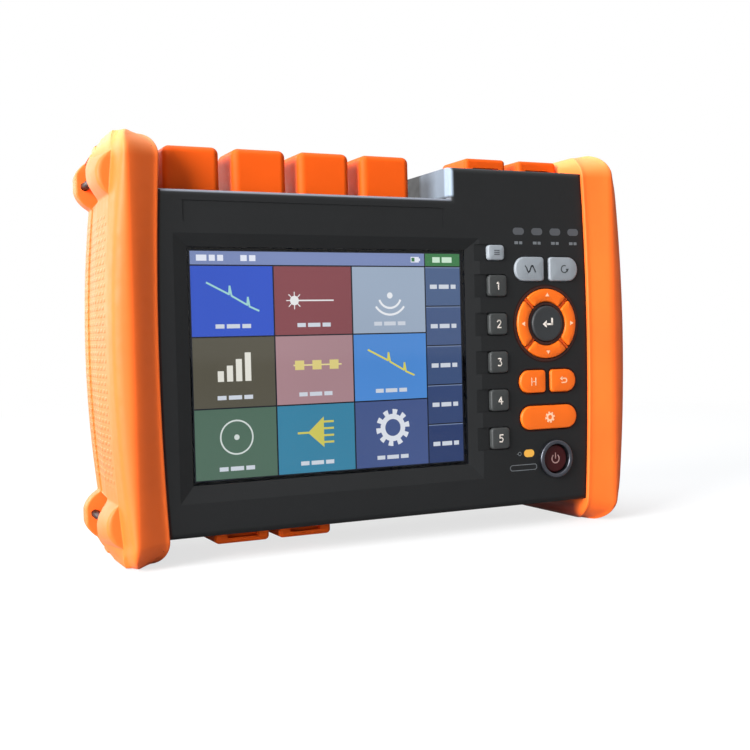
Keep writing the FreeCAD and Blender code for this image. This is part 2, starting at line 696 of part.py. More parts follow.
def nose_cut():
    """Sloping plane that takes the inner front corner off the top of the nose."""
    crest = V(CREST_X, -DEPTH / 2 + NOSE_CUT_BACK, HEIGHT)
    lip = V(BUMPER_IN_MID + NOSE_CUT_LIP, FACE_Y, HEIGHT - NOSE_CUT_DROP)
    deep = V(BUMPER_IN_MID + NOSE_CUT_LIP, FACE_Y + NOSE_CUT_RUN, HEIGHT)
    normal = deep.sub(crest).cross(lip.sub(crest))
    normal.normalize()
    if normal.z < 0:
        normal = normal.negative()
    side = DEPTH
    along = deep.sub(crest)
    along.normalize()
    across = normal.cross(along)
    def corner(a, b):
        return crest.add(V(along).multiply(a * side)).add(V(across).multiply(b * side))
    corners = [corner(-1, -1), corner(1, -1), corner(1, 1), corner(-1, 1), corner(-1, -1)]
    return Part.Face(Part.makePolygon(corners)).extrude(normal.multiply(side))


def strap_lugs(z):
    """Two half-round ears that stand out of the side."""
    return [rod(LUG_R, V(LUG_X, y0, z), V(LUG_X, y1, z)) for y0, y1 in (FRONT_LUG, REAR_LUG)]


def strap_pocket(z):
    rect = (POCKET_FLOOR, POCKET_FLOOR + 4 * LUG_R, z - POCKET_HALF, z + POCKET_HALF)
    return slab(rect, (POCKET_CORNER, POCKET_CORNER), FRONT_LUG[1], REAR_LUG[0])


def strap_pin(z):
    return rod(STRAP_PIN_R, V(STRAP_PIN_X, FRONT_LUG[0] + STRAP_PIN_FRONT, z),
               V(STRAP_PIN_X, REAR_LUG[1] - STRAP_PIN_REAR, z))


def lug_heights():
    return (MID_Z - LUG_Z, MID_Z + LUG_Z)


def right_bumper():
    body = bumper_plan().common(bumper_front_view()).cut(nose_cut())
    body = body.common(bumper_side_view()).common(tail_taper())
    lugs = [lug for z in lug_heights() for lug in strap_lugs(z)]
    body = fuse([body] + lugs)
    tools = [prism(housing_points(), FACE_Y, BACK_Y)]
    tools += [strap_pocket(z) for z in lug_heights()]
    tools += [strap_pin(z) for z in lug_heights()]
    return cut(body, tools)


def mirrored(shape):
    return shape.mirror(V(0, 0, 0), ALONG_X)


def strap_pins():
    return Part.makeCompound([strap_pin(z) for z in lug_heights()])


# Port caps, covers and what they hide

def cap_centres():
    return [CAP_X + index * CAP_PITCH for index in range(CAP_COUNT)]


def top_cover_centres():
    return [TOP_COVER_X + index * TOP_COVER_PITCH for index in range(COVER_COUNT)]


def low_cover_centres():
    return [LOW_COVER_X + index * LOW_COVER_PITCH for index in range(COVER_COUNT)]


def panel_block(centres, width, front, depth, z0, z1):
    """Block of a connector panel, let into the deck, the hump or the underside."""
    return box(centres[0] - width / 2, centres[-1] + width / 2,
               front + PANEL_SETBACK, front + depth + 2 * HINGE_BACK, z0, z1)


def port_panel_block():
    return panel_block(cap_centres(), CAP_W, CAP_FRONT, CAP_D, DECK_Z - PANEL_T, DECK_Z)


def top_panel_block():
    return panel_block(top_cover_centres(), TOP_COVER_W, TOP_COVER_FRONT, COVER_D, HUMP_Z - PANEL_T, HUMP_Z)


def low_panel_block():
    return panel_block(low_cover_centres(), LOW_COVER_W, LOW_COVER_FRONT, COVER_D,
                       HOUSING_BOTTOM, HOUSING_BOTTOM + PANEL_T)


def hinge_lugs(centres, axis_y, axis_z, base_z):
    """Pairs of lugs that carry the hinge rod, one on each side of every knuckle."""
    lugs = []
    for x in centres:
        for side in (-1, 1):
            inner = x + side * (KNUCKLE_W / 2 + LUG_GAP)
            outer = inner + side * HINGE_LUG_W
            x0, x1 = min(inner, outer), max(inner, outer)
            lugs.append(rod(HINGE_R, V(x0, axis_y, axis_z), V(x1, axis_y, axis_z)))
            z0, z1 = min(base_z, axis_z), max(base_z, axis_z)
            lugs.append(box(x0, x1, axis_y - HINGE_R, axis_y + HINGE_R, z0, z1))
    return lugs


def hinge_rod(centres, axis_y, axis_z, radius=ROD_R):
    reach = KNUCKLE_W / 2 + LUG_GAP + HINGE_LUG_W
    return rod(radius, V(centres[0] - reach, axis_y, axis_z), V(centres[-1] + reach, axis_y, axis_z))


def cap_axis():
    return CAP_FRONT + CAP_D + HINGE_BACK, DECK_Z + HINGE_UP


def top_cover_axis():
    return TOP_COVER_FRONT + COVER_D + HINGE_BACK, HUMP_Z + COVER_HINGE_UP


def low_cover_axis():
    return LOW_COVER_FRONT + COVER_D + HINGE_BACK, HOUSING_BOTTOM - COVER_HINGE_UP


def adapter_y():
    return CAP_FRONT + CAP_D / 2


def port_panel():
    axis_y, axis_z = cap_axis()
    plate = fuse([port_panel_block()] + hinge_lugs(cap_centres(), axis_y, axis_z, DECK_Z))
    tools = [hinge_rod(cap_centres(), axis_y, axis_z)]
    for x in cap_centres():
        tools.append(rod(ADAPTER_TAIL_R, V(x, adapter_y(), DECK_Z - PANEL_T), V(x, adapter_y(), DECK_Z)))
    return cut(plate, tools)


def jack_y(front):
    return front + COVER_D / 2


def jack_tool(kind, x, y, face_z, inward):
    """Opening of a service jack: a plug socket, a slot or a round barrel hole, cut into its body."""
    half_w, half_d = JACK_SIZES[kind][2:]
    z0, z1 = sorted((face_z, face_z + inward * JACK_D))
    if kind == "round":
        hole = rod(half_w, V(x, y, z0), V(x, y, z1))
        return hole.cut(rod(JACK_PIN_R, V(x, y, z0), V(x, y, z1)))
    return box(x - half_w, x + half_w, y - half_d, y + half_d, z0, z1)


def jack_block(kind, x, y, face_z, inward, depth):
    half_w, half_d = JACK_SIZES[kind][:2]
    z0, z1 = sorted((face_z, face_z + inward * depth))
    return box(x - half_w, x + half_w, y - half_d, y + half_d, z0, z1)


def jack(kind, x, y, face_z, inward):
    """Service jack whose face is flush with its panel."""
    block = jack_block(kind, x, y, face_z, inward, JACK_BODY)
    return block.cut(jack_tool(kind, x, y, face_z, inward))


def jack_places():
    """Name, kind, place and inward direction of each service jack."""
    top, low = top_cover_centres(), low_cover_centres()
    top_y, low_y = jack_y(TOP_COVER_FRONT), jack_y(LOW_COVER_FRONT)
    return [
        ("top_jack_1", "wide", top[0], top_y, HUMP_Z, -1),
        ("top_jack_2", "small", top[1], top_y, HUMP_Z, -1),
        ("low_jack_1", "round", low[0], low_y, HOUSING_BOTTOM, 1),
        ("low_jack_2", "slot", low[1], low_y, HOUSING_BOTTOM, 1),
    ]


def jack_panel(block, centres, axis, base_z, prefix):
    axis_y, axis_z = axis
    plate = fuse([block] + hinge_lugs(centres, axis_y, axis_z, base_z))
    tools = [hinge_rod(centres, axis_y, axis_z)]
    tools += [jack_block(*place[1:], PANEL_T) for place in jack_places() if place[0].startswith(prefix)]
    return cut(plate, tools)


def optical_adapter(x):
    """Threaded barrel on a square flange, with a 2.5 mm ferrule bore and a tail inside the housing."""
    y, z = adapter_y(), DECK_Z
    half = ADAPTER_FLANGE / 2
    flange = box(x - half, x + half, y - half, y + half, z, z + ADAPTER_FLANGE_T)
    barrel = rod(ADAPTER_R, V(x, y, z), V(x, y, z + ADAPTER_H))
    tail = rod(ADAPTER_TAIL_R, V(x, y, z - ADAPTER_TAIL), V(x, y, z))
    body = fuse([flange, barrel, tail])
    mouth, floor = V(x, y, z + ADAPTER_H), V(x, y, z + ADAPTER_H - ADAPTER_GROOVE)
    groove = rod(ADAPTER_R - ADAPTER_LIP, floor, mouth).cut(rod(FERRULE_R + SLEEVE_T, floor, mouth))
    key = box(x - ADAPTER_KEY_W / 2, x + ADAPTER_KEY_W / 2, y - ADAPTER_R, y - FERRULE_R - SLEEVE_T,
              floor.z, mouth.z)
    bore = rod(FERRULE_R, V(x, y, mouth.z - FERRULE_DEPTH), mouth)
    return cut(body, [groove, key, bore])


def port_cap(x):
    """Rubber cap: a rounded block, hollow over the adapter, on a rear knuckle."""
    axis_y, axis_z = cap_axis()
    z0 = DECK_Z + CAP_LIFT
    z1 = z0 + CAP_H
    y0, y1 = CAP_FRONT, CAP_FRONT + CAP_D
    block = rounded_block((x - CAP_W / 2, x + CAP_W / 2, y0, y1, z0, z1), z1, CAP_R)
    half = CAP_HOLLOW_W / 2
    hollow = box(x - half, x + half, y0 + CAP_HOLLOW_FRONT, y1 - CAP_HOLLOW_REAR, z0, z0 + CAP_HOLLOW_H)
    return cut(fuse([block] + knuckle(x, axis_y, axis_z, y1, 1)), [hollow, knuckle_bore(x, axis_y, axis_z)])


def rounded_block(limits, far_z, radius):
    """Block whose upright edges, and the rim of its outer face, are rounded."""
    block = box(*limits)
    outer = edges_where(block, lambda p: near(p.z, far_z))
    upright = [edge for edge in block.Edges if near(edge.Vertexes[0].Y, edge.Vertexes[1].Y)
               and near(edge.Vertexes[0].X, edge.Vertexes[1].X)]
    return block.makeFillet(radius, outer + upright)


def knuckle(x, axis_y, axis_z, rear_y, outward):
    """Barrel round the hinge rod, and the bridge that joins it to the cap's rear."""
    x0, x1 = x - KNUCKLE_W / 2, x + KNUCKLE_W / 2
    barrel = rod(HINGE_R, V(x0, axis_y, axis_z), V(x1, axis_y, axis_z))
    z0, z1 = sorted((axis_z - outward * ROD_R, axis_z + outward * HINGE_R))
    return [barrel, box(x0, x1, rear_y - KNUCKLE_SINK, axis_y, z0, z1)]


def knuckle_bore(x, axis_y, axis_z):
    return rod(ROD_R + ROD_CLEAR, V(x - KNUCKLE_W, axis_y, axis_z), V(x + KNUCKLE_W, axis_y, axis_z))


def low_profile_cover(x, width, front, z_base, height, axis, outward):
    """Flat rubber cover with a finger notch in front and a knuckle at the rear."""
    axis_y, axis_z = axis
    near_z, far_z = z_base + outward * CAP_LIFT, z_base + outward * (CAP_LIFT + height)
    z0, z1 = min(near_z, far_z), max(near_z, far_z)
    rear = front + COVER_D
    block = rounded_block((x - width / 2, x + width / 2, front, rear, z0, z1), far_z, COVER_R)
    n0, n1 = sorted((near_z, near_z + outward * NOTCH_H))
    notch = box(x - NOTCH_W / 2, x + NOTCH_W / 2, front, front + NOTCH_D, n0, n1)
    pieces = [block] + knuckle(x, axis_y, axis_z, rear, outward)
    return cut(fuse(pieces), [notch, knuckle_bore(x, axis_y, axis_z)])


# Rear

def stand_outer_y():
    return BACK_Y - STAND_SINK


def stand_pivot_y():
    return stand_outer_y() - STAND_T / 2


def pivot_point(x):
    return V(x, stand_pivot_y(), STAND_PIVOT_Z)


def stand_groove(grow):
    """Recess of the tilt stand, grown by its running gap or by the skin behind it."""
    half, bottom = STAND_HALF + grow, STAND_BOTTOM - grow
    top = STAND_PIVOT_Z + STAND_T / 2 + grow
    floor = stand_outer_y() - STAND_T - grow
    inner = STAND_HALF - STAND_ARM - grow
    foot = STAND_BOTTOM + STAND_FOOT_H + grow
    arms = [box(-half, -inner, floor, BACK_Y, bottom, top), box(inner, half, floor, BACK_Y, bottom, top)]
    return arms + [box(-half, half, floor, BACK_Y, bottom, foot)]


def finger_block(grow=0.0):
    return box(-FINGER_W / 2 - grow, FINGER_W / 2 + grow, BACK_Y - FINGER_D - grow, BACK_Y,
               HOUSING_BOTTOM, STAND_BOTTOM + STAND_FOOT_H - FINGER_LAP)


def tilt_stand():
    """U-shaped bail with round-ended arms and a trunnion on each arm."""
    y0, y1 = stand_outer_y() - STAND_T, stand_outer_y()
    foot = box(-STAND_HALF, STAND_HALF, y0, y1, STAND_BOTTOM, STAND_BOTTOM + STAND_FOOT_H)
    corners = [edge for edge in foot.Edges if near(edge.Vertexes[0].Z, STAND_BOTTOM)
               and near(edge.Vertexes[1].Z, STAND_BOTTOM) and near(edge.Vertexes[0].X, edge.Vertexes[1].X)]
    pieces = [foot.makeFillet(STAND_CORNER, corners)]
    for side in (-1, 1):
        x0, x1 = sorted((side * (STAND_HALF - STAND_ARM), side * STAND_HALF))
        pieces.append(box(x0, x1, y0, y1, STAND_BOTTOM + STAND_FOOT_H / 2, STAND_PIVOT_Z))
        pieces.append(rod(STAND_T / 2, pivot_point(x0), pivot_point(x1)))
        pin_root, pin_end = side * (STAND_HALF - STAND_PIN_ROOT), side * (STAND_HALF + STAND_PIN_L)
        pieces.append(rod(STAND_PIN_R, pivot_point(pin_root), pivot_point(pin_end)))
    return fuse(pieces)


def trunnion_holes():
    holes = []
    for side in (-1, 1):
        start, end = side * STAND_HALF, side * (STAND_HALF + STAND_PIN_L + STAND_PIN_GAP)
        holes.append(rod(STAND_PIN_R + ROD_CLEAR, pivot_point(start), pivot_point(end)))
    return holes


def bay_rect():
    return (-DOOR_X + DOOR_LIP, DOOR_X - DOOR_LIP, DOOR_Z0 + DOOR_LIP, DOOR_Z1 - DOOR_LIP)


def bay_floor():
    return BACK_Y - DOOR_T - BAY_DEPTH


def rear_housing():
    shell = rear_envelope().cut(prism(hollow_points(), SPLIT_Y, BACK_Y - WALL))
    x0, x1, z0, z1 = bay_rect()
    w = BAY_WALL
    posts = [rod(BOSS_R, V(x, SPLIT_Y, z), V(x, BACK_Y - WALL, z)) for x, z in BOSSES]
    bay = box(x0 - w, x1 + w, bay_floor() - w, BACK_Y - WALL, z0 - w, z1 + w)
    inside = prism(hollow_points(), SPLIT_Y, BACK_Y)
    skins = [piece.common(inside) for piece in stand_groove(GROOVE_SKIN) + [finger_block(GROOVE_SKIN)]]
    cheeks = []
    for side in (-1, 1):
        c0, c1 = sorted((side * STAND_HALF, side * (STAND_HALF + STAND_PIN_L + GROOVE_SKIN)))
        cheeks.append(box(c0, c1, stand_pivot_y() - STAND_T, BACK_Y - WALL,
                          STAND_PIVOT_Z - STAND_T, STAND_PIVOT_Z + STAND_T))
    shell = fuse([shell, bay] + posts + skins + cheeks)
    tools = [box(x0, x1, bay_floor(), BACK_Y, z0, z1)]
    g = DOOR_GAP
    tools.append(box(-DOOR_X - g, DOOR_X + g, BACK_Y - DOOR_T, BACK_Y, DOOR_Z0 - g, DOOR_Z1 + g))
    tools += stand_groove(GROOVE_GAP) + [finger_block()] + trunnion_holes()
    for x, z in BOSSES:
        tools.append(rod(SCREW_R, V(x, SPLIT_Y, z), V(x, BACK_Y, z)))
        tools.append(rod(SCREW_HEAD_R, V(x, BACK_Y - SCREW_HEAD - SCREW_SINK, z), V(x, BACK_Y, z)))
    tools += [port_panel_block(), top_panel_block(), low_panel_block()]
    for x, z in door_screw_places():
        tools.append(rod(SCREW_R, V(x, BACK_Y - DOOR_T - DOOR_SCREW_DEPTH, z), V(x, BACK_Y, z)))
    return cut(shell, tools)


def door_screw_places():
    """Captive screws in the door's side lips, beside the bay."""
    z_mid = (DOOR_Z0 + DOOR_Z1) / 2
    reach = (DOOR_Z1 - DOOR_Z0) / 2 - DOOR_SCREW_IN
    x = DOOR_X - DOOR_LIP / 2
    return [(side * x, z_mid + up * reach) for side in (-1, 1) for up in (-1, 1)]


def battery_door():
    plate = box(-DOOR_X, DOOR_X, BACK_Y - DOOR_T, BACK_Y, DOOR_Z0, DOOR_Z1)
    tools = []
    for x, z in door_screw_places():
        tools.append(rod(SCREW_R, V(x, BACK_Y - DOOR_T, z), V(x, BACK_Y, z)))
    return cut(plate, tools)


def battery_pack():
    x0, x1, z0, z1 = bay_rect()
    g = BATTERY_GAP
    pack = box(x0 + g, x1 - g, bay_floor(), BACK_Y - DOOR_T, z0 + g, z1 - g)
    upright = [edge for edge in pack.Edges if near(edge.Vertexes[0].X, edge.Vertexes[1].X)
               and near(edge.Vertexes[0].Z, edge.Vertexes[1].Z)]
    return pack.makeFillet(BATTERY_R, upright)


def case_screws():
    """Pan-head screws driven along -Y, as one set."""
    top = BACK_Y - SCREW_SINK
    seat = top - SCREW_HEAD
    solids = []
    for x, z in BOSSES:
        head = rod(SCREW_HEAD_R, V(x, seat, z), V(x, top, z))
        shank = rod(SCREW_R, V(x, seat - SCREW_LENGTH, z), V(x, seat, z))
        solids.append(fuse([head, shank]))
    return Part.makeCompound(solids)


def door_screws():
    """Thin-headed captive screws that stand a little proud of the door."""
    solids = []
    for x, z in door_screw_places():
        shank = rod(SCREW_R, V(x, BACK_Y - DOOR_T - DOOR_SCREW_DEPTH, z), V(x, BACK_Y, z))
        head = rod(SCREW_HEAD_R, V(x, BACK_Y, z), V(x, BACK_Y + DOOR_SCREW_HEAD, z))
        solids.append(fuse([shank, head]))
    return Part.makeCompound(solids)


def main_board():
    """Board behind the display."""
    x0, x1, z0, z1 = window_rect()
    y0 = display_back()
    return box(x0, x1, y0, y0 + BOARD_T, z0, z1)


def display_back():
    return FACE_Y + WINDOW_SEAT + WINDOW_T + DISPLAY_T


def optical_module():
    """Sealed block below the adapters, which takes their tails."""
    block = box(MODULE_LEFT, MODULE_RIGHT, display_back() + BOARD_T, MODULE_BACK,
                MODULE_BOTTOM, DECK_Z - PANEL_T)
    tools = []
    for x in cap_centres():
        tools.append(rod(ADAPTER_TAIL_R, V(x, adapter_y(), DECK_Z - ADAPTER_TAIL), V(x, adapter_y(), DECK_Z)))
    for x, z in BOSSES:
        tools.append(rod(BOSS_R, V(x, FACE_Y, z), V(x, BACK_Y, z)))
    return cut(block, tools)


def build():
    """Every sub-part by name."""
    parts = {
        "front_housing": front_housing(),
        "rear_housing": rear_housing(),
        "bumper_right": right_bumper(),
        "screen_window": screen_window(),
        "display_panel": display_panel(),
        "main_board": main_board(),
        "keypad_board": keypad_board(),
        "key_mat": key_mat(),
        "ring_web": ring_web(),
        "power_ring": power_ring(),
        "light_guide": light_guide(),
        "charge_lens": charge_lens(),
        "optical_module": optical_module(),
        "battery_pack": battery_pack(),
        "battery_door": battery_door(),
        "door_screws": door_screws(),
        "case_screws": case_screws(),
        "port_panel": port_panel(),
        "top_panel": jack_panel(
            top_panel_block(), top_cover_centres(), top_cover_axis(), HUMP_Z, "top"),
        "low_panel": jack_panel(
            low_panel_block(), low_cover_centres(), low_cover_axis(), HOUSING_BOTTOM, "low"),
        "strap_pins_right": strap_pins(),
        "tilt_stand": tilt_stand(),
        "enter_key": round_key(RING_X, RING_Z, ENTER_R, KEY_PROUD),
        "power_key": round_key(POWER_X, POWER_Z, POWER_R, POWER_RING_PROUD - KEY_PROUD),
    }
    parts["bumper_left"] = mirrored(parts["bumper_right"])
    parts["strap_pins_left"] = mirrored(parts["strap_pins_right"])
    parts["cap_rod"] = hinge_rod(cap_centres(), *cap_axis())
    parts["top_rod"] = hinge_rod(top_cover_centres(), *top_cover_axis())
    parts["low_rod"] = hinge_rod(low_cover_centres(), *low_cover_axis())
    for name, kind, x, y, face_z, inward in jack_places():
        parts[name] = jack(kind, x, y, face_z, inward)
    for index, x in enumerate(cap_centres(), start=1):
        parts[f"port_cap_{index}"] = port_cap(x)
        parts[f"optical_adapter_{index}"] = optical_adapter(x)
    for index, x in enumerate(top_cover_centres(), start=1):
        parts[f"top_cover_{index}"] = low_profile_cover(
            x, TOP_COVER_W, TOP_COVER_FRONT, HUMP_Z, TOP_COVER_H, top_cover_axis(), 1)
    for index, x in enumerate(low_cover_centres(), start=1):
        parts[f"low_cover_{index}"] = low_profile_cover(
            x, LOW_COVER_W, LOW_COVER_FRONT, HOUSING_BOTTOM, LOW_COVER_H, low_cover_axis(), -1)
    for name, rect, left_r, right_r in flat_keys():
        parts[name] = key_solid(rect, left_r, right_r)
    for turns, name in enumerate(("arrow_key_right", "arrow_key_up", "arrow_key_left", "arrow_key_down")):
        parts[name] = arrow_key(turns)
    return parts


def main():
    os.makedirs("parts", exist_ok=True)
    for name, shape in sorted(build().items()):
        shape.exportStep(f"parts/{name}.step")
        bounds = shape.BoundBox
        print(f"{name:20s} solids {len(shape.Solids)} valid {shape.isValid()} volume {shape.Volume:10.1f} "
              f"X {bounds.XMin:7.2f} {bounds.XMax:7.2f} Y {bounds.YMin:7.2f} {bounds.YMax:7.2f} "
              f"Z {bounds.ZMin:7.2f} {bounds.ZMax:7.2f}")


if __name__ == "__main__":
    main()
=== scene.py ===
"""Looks of a handheld optical fibre tester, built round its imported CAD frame.

+Z is up and the screen looks along -Y. Finishes, lamps and the camera measure in metres. All that
makes meshes measures in millimetres, which `Sheet.build` brings to metres.
"""
from __future__ import annotations

import json
import logging
import math
from abc import ABC, abstractmethod
from dataclasses import dataclass, field
from enum import Enum, auto
from typing import Iterable, Sequence

import bpy
import numpy as np
from mathutils import Matrix, Vector

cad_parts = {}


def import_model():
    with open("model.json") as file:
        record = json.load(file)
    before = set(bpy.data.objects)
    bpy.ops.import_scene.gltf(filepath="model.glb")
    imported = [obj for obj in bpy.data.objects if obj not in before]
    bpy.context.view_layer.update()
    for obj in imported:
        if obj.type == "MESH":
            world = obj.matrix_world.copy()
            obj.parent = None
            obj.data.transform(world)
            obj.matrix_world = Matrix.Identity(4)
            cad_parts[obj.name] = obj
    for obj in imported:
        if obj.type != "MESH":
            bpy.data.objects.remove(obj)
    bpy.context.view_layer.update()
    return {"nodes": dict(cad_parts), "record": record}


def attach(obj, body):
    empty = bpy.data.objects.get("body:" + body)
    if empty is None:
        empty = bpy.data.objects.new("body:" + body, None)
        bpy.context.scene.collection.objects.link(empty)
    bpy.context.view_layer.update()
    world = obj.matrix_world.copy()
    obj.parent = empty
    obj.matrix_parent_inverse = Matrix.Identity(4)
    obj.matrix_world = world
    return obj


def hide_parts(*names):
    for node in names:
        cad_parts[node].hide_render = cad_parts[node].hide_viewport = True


LOG = logging.getLogger("tester")
MM = 0.001
Array = np.ndarray
Box = tuple[float, float, float, float]
Colour = tuple[float, float, float]
Pair = tuple[float, float]
Rows = list[list[int]]
Material = bpy.types.Material
Socket = bpy.types.NodeSocket
WHITE: Colour = (1.0, 1.0, 1.0)


def placed(name: str, data: bpy.types.ID) -> bpy.types.Object:
    """New object of the scene.

    Args:
        name: Name of the object.
        data: Its mesh, lamp or camera.

    Returns:
        The object.
    """
    made = bpy.data.objects.new(name, data)
    bpy.context.scene.collection.objects.link(made)
    return made


# Colours and finishes

def tint(code: str, level: float = 1.0) -> Colour:
    """Linear colour of a six-digit display colour.

    Args:
        code: Red, green and blue as hexadecimal digits.
        level: Factor on the linear values, which stay at 1 or below.

    Returns:
        The three linear values, by the standard display curve.
    """
    values = [int(code[i:i + 2], 16) / 255 for i in (0, 2, 4)]
    linear = [v / 12.92 if v <= 0.04045 else ((v + 0.055) / 1.055) ** 2.4 for v in values]
    red, green, blue = (min(1.0, v * level) for v in linear)
    return red, green, blue


class Nodes:
    """One procedural material, with short calls to add and join its nodes."""

    def __init__(self, name: str) -> None:
        """Starts the material with its main shader and output.

        Args:
            name: Name of the material.
        """
        self.material = bpy.data.materials.new(name)
        self.material.use_nodes = True
        self.tree = self.material.node_tree
        self.shader = self.tree.nodes["Principled BSDF"]
        self.output = self.tree.nodes["Material Output"]
        self.place = self.tree.nodes.new("ShaderNodeTexCoord").outputs["Object"]

    def feed(self, socket: Socket, value: object) -> None:
        """Joins an output to an input, or sets the input's value.

        Args:
            socket: The input.
            value: An output, a number, a vector, or three values of a colour.
        """
        if isinstance(value, Socket):
            self.tree.links.new(value, socket)
        else:
            socket.default_value = (*value, 1.0) if socket.type == "RGBA" else value

    def add(self, kind: str, inputs: dict[str | int, object] | None = None,
            **settings: object) -> bpy.types.Node:
        """Adds a node.

        Args:
            kind: Blender's name of the node, without its prefix.
            inputs: Values or sockets for its inputs, by name or number.
            settings: Attributes of the node itself.

        Returns:
            The new node.
        """
        node = self.tree.nodes.new("ShaderNode" + kind)
        for key, value in settings.items():
            setattr(node, key, value)
        for key, value in (inputs or {}).items():
            self.feed(node.inputs[key], value)
        return node

    def set(self, **values: object) -> None:
        """Sets the main shader's inputs, with underscores for spaces."""
        for key, value in values.items():
            self.feed(self.shader.inputs[key.replace("_", " ")], value)

    def blend(self, share: Socket, first: bpy.types.Node, second: bpy.types.Node) -> None:
        """Makes the surface a mix of two shaders, the second by the stated share."""
        mixed = self.add("MixShader", {0: share, 1: first.outputs[0], 2: second.outputs[0]})
        self.feed(self.output.inputs[0], mixed.outputs[0])

    def axes(self) -> list[Socket]:
        """The object's own X, Y and Z."""
        return list(self.add("SeparateXYZ", {0: self.place}).outputs)

    def math(self, operation: str, a: object, b: object = 0.0) -> Socket:
        """Output of a Math node on two values or sockets."""
        return self.add("Math", {0: a, 1: b}, operation=operation).outputs[0]

    def product(self, first: object, *others: object) -> Socket:
        """Product of values or sockets."""
        for other in others:
            first = self.math("MULTIPLY", first, other)
        return first

    def off(self, value: Socket, centre: float = 0.0) -> Socket:
        """How far a value is from a centre, whichever side it is on."""
        return self.math("ABSOLUTE", self.math("SUBTRACT", value, centre))

    def ramp(self, value: Socket, low: float, high: float, a: float, b: float) -> Socket:
        """Value mapped from low..high to a..b, held at both ends."""
        return self.add("MapRange", {0: value, 1: low, 2: high, 3: a, 4: b}).outputs[0]

    def rise(self, value: Socket, low: float, high: float) -> Socket:
        """Mask that goes from 0 at low to 1 at high."""
        return self.ramp(value, low, high, 0.0, 1.0)

    def fall(self, value: Socket, low: float, high: float) -> Socket:
        """Mask that goes from 1 at low to 0 at high."""
        return self.ramp(value, low, high, 1.0, 0.0)

    def noise(self, scale: float, detail: float = 2.0) -> Socket:
        """Noise on the object's own coordinates, from 0 to 1."""
        return self.add("TexNoise", {"Vector": self.place, "Scale": scale, "Detail": detail}).outputs[0]

    def wander(self, scale: float, detail: float, a: float, b: float, spread: float = 0.2) -> Socket:
        """Value that wanders from a to b, reached where the noise is the spread away from its middle."""
        return self.ramp(self.noise(scale, detail), 0.5 - spread, 0.5 + spread, a, b)

    def mix(self, share: Socket, a: object, b: object) -> Socket:
        """Colour between two colours or sockets."""
        return self.add("Mix", {0: share, 6: a, 7: b}, data_type="RGBA").outputs[2]

    def bump(self, height: Socket, depth: float, under: Socket | None = None) -> Socket:
        """Normal of a relief.

        Args:
            height: Height from 0 to 1.
            depth: Its full height in metres.
            under: Normal of a coarser relief that it lies on.

        Returns:
            The normal.
        """
        node = self.add("Bump", {"Height": height, "Distance": depth, "Strength": 1.0})
        if under is not None:
            self.feed(node.inputs["Normal"], under)
        return node.outputs[0]


@dataclass(frozen=True)
class Finish(ABC):
    """Look of one material slot or ink.

    Attributes:
        name: Name of the material.
    """

    name: str

    @abstractmethod
    def fill(self, nodes: Nodes) -> None:
        """Sets the material's shader."""

    def build(self) -> Material:
        """Makes the material.

        Returns:
            The material.
        """
        nodes = Nodes(self.name)
        self.fill(nodes)
        return nodes.material


@dataclass(frozen=True)
class Moulding(Finish):
    """Moulded plastic or rubber with a fine spark-eroded grain and a slightly uneven sheen.

    Attributes:
        code: Display colour.
        rough: Mean roughness.
        grain: Grains per metre of the fine relief.
        depth: Depth of that relief.
        mottle: How far the colour wanders, as a share.
        patches: Patches of that wandering per metre.
        swing: How far the roughness wanders.
        gloss: Specular level of the shader.
    """

    code: str
    rough: float = 0.5
    grain: float = 2600.0
    depth: float = 0.00002
    mottle: float = 0.06
    patches: float = 42.0
    swing: float = 0.05
    gloss: float = 0.5

    def colour(self, nodes: Nodes) -> Socket:
        """Base colour, which wanders a little over a few centimetres."""
        darker, lighter = tint(self.code, 1 - self.mottle), tint(self.code, 1 + self.mottle)
        return nodes.mix(nodes.wander(self.patches, 3.0, 0.0, 1.0), darker, lighter)

    def fill(self, nodes: Nodes) -> None:
        """Sets the material's shader.

        Args:
            nodes: The material.
        """
        rough = nodes.wander(310.0, 2.0, self.rough - self.swing, self.rough + self.swing, 0.25)
        relief = nodes.bump(nodes.noise(self.grain, 1.0), self.depth)
        nodes.set(Base_Color=self.colour(nodes), Roughness=rough)
        nodes.set(Normal=relief, Specular_IOR_Level=self.gloss)


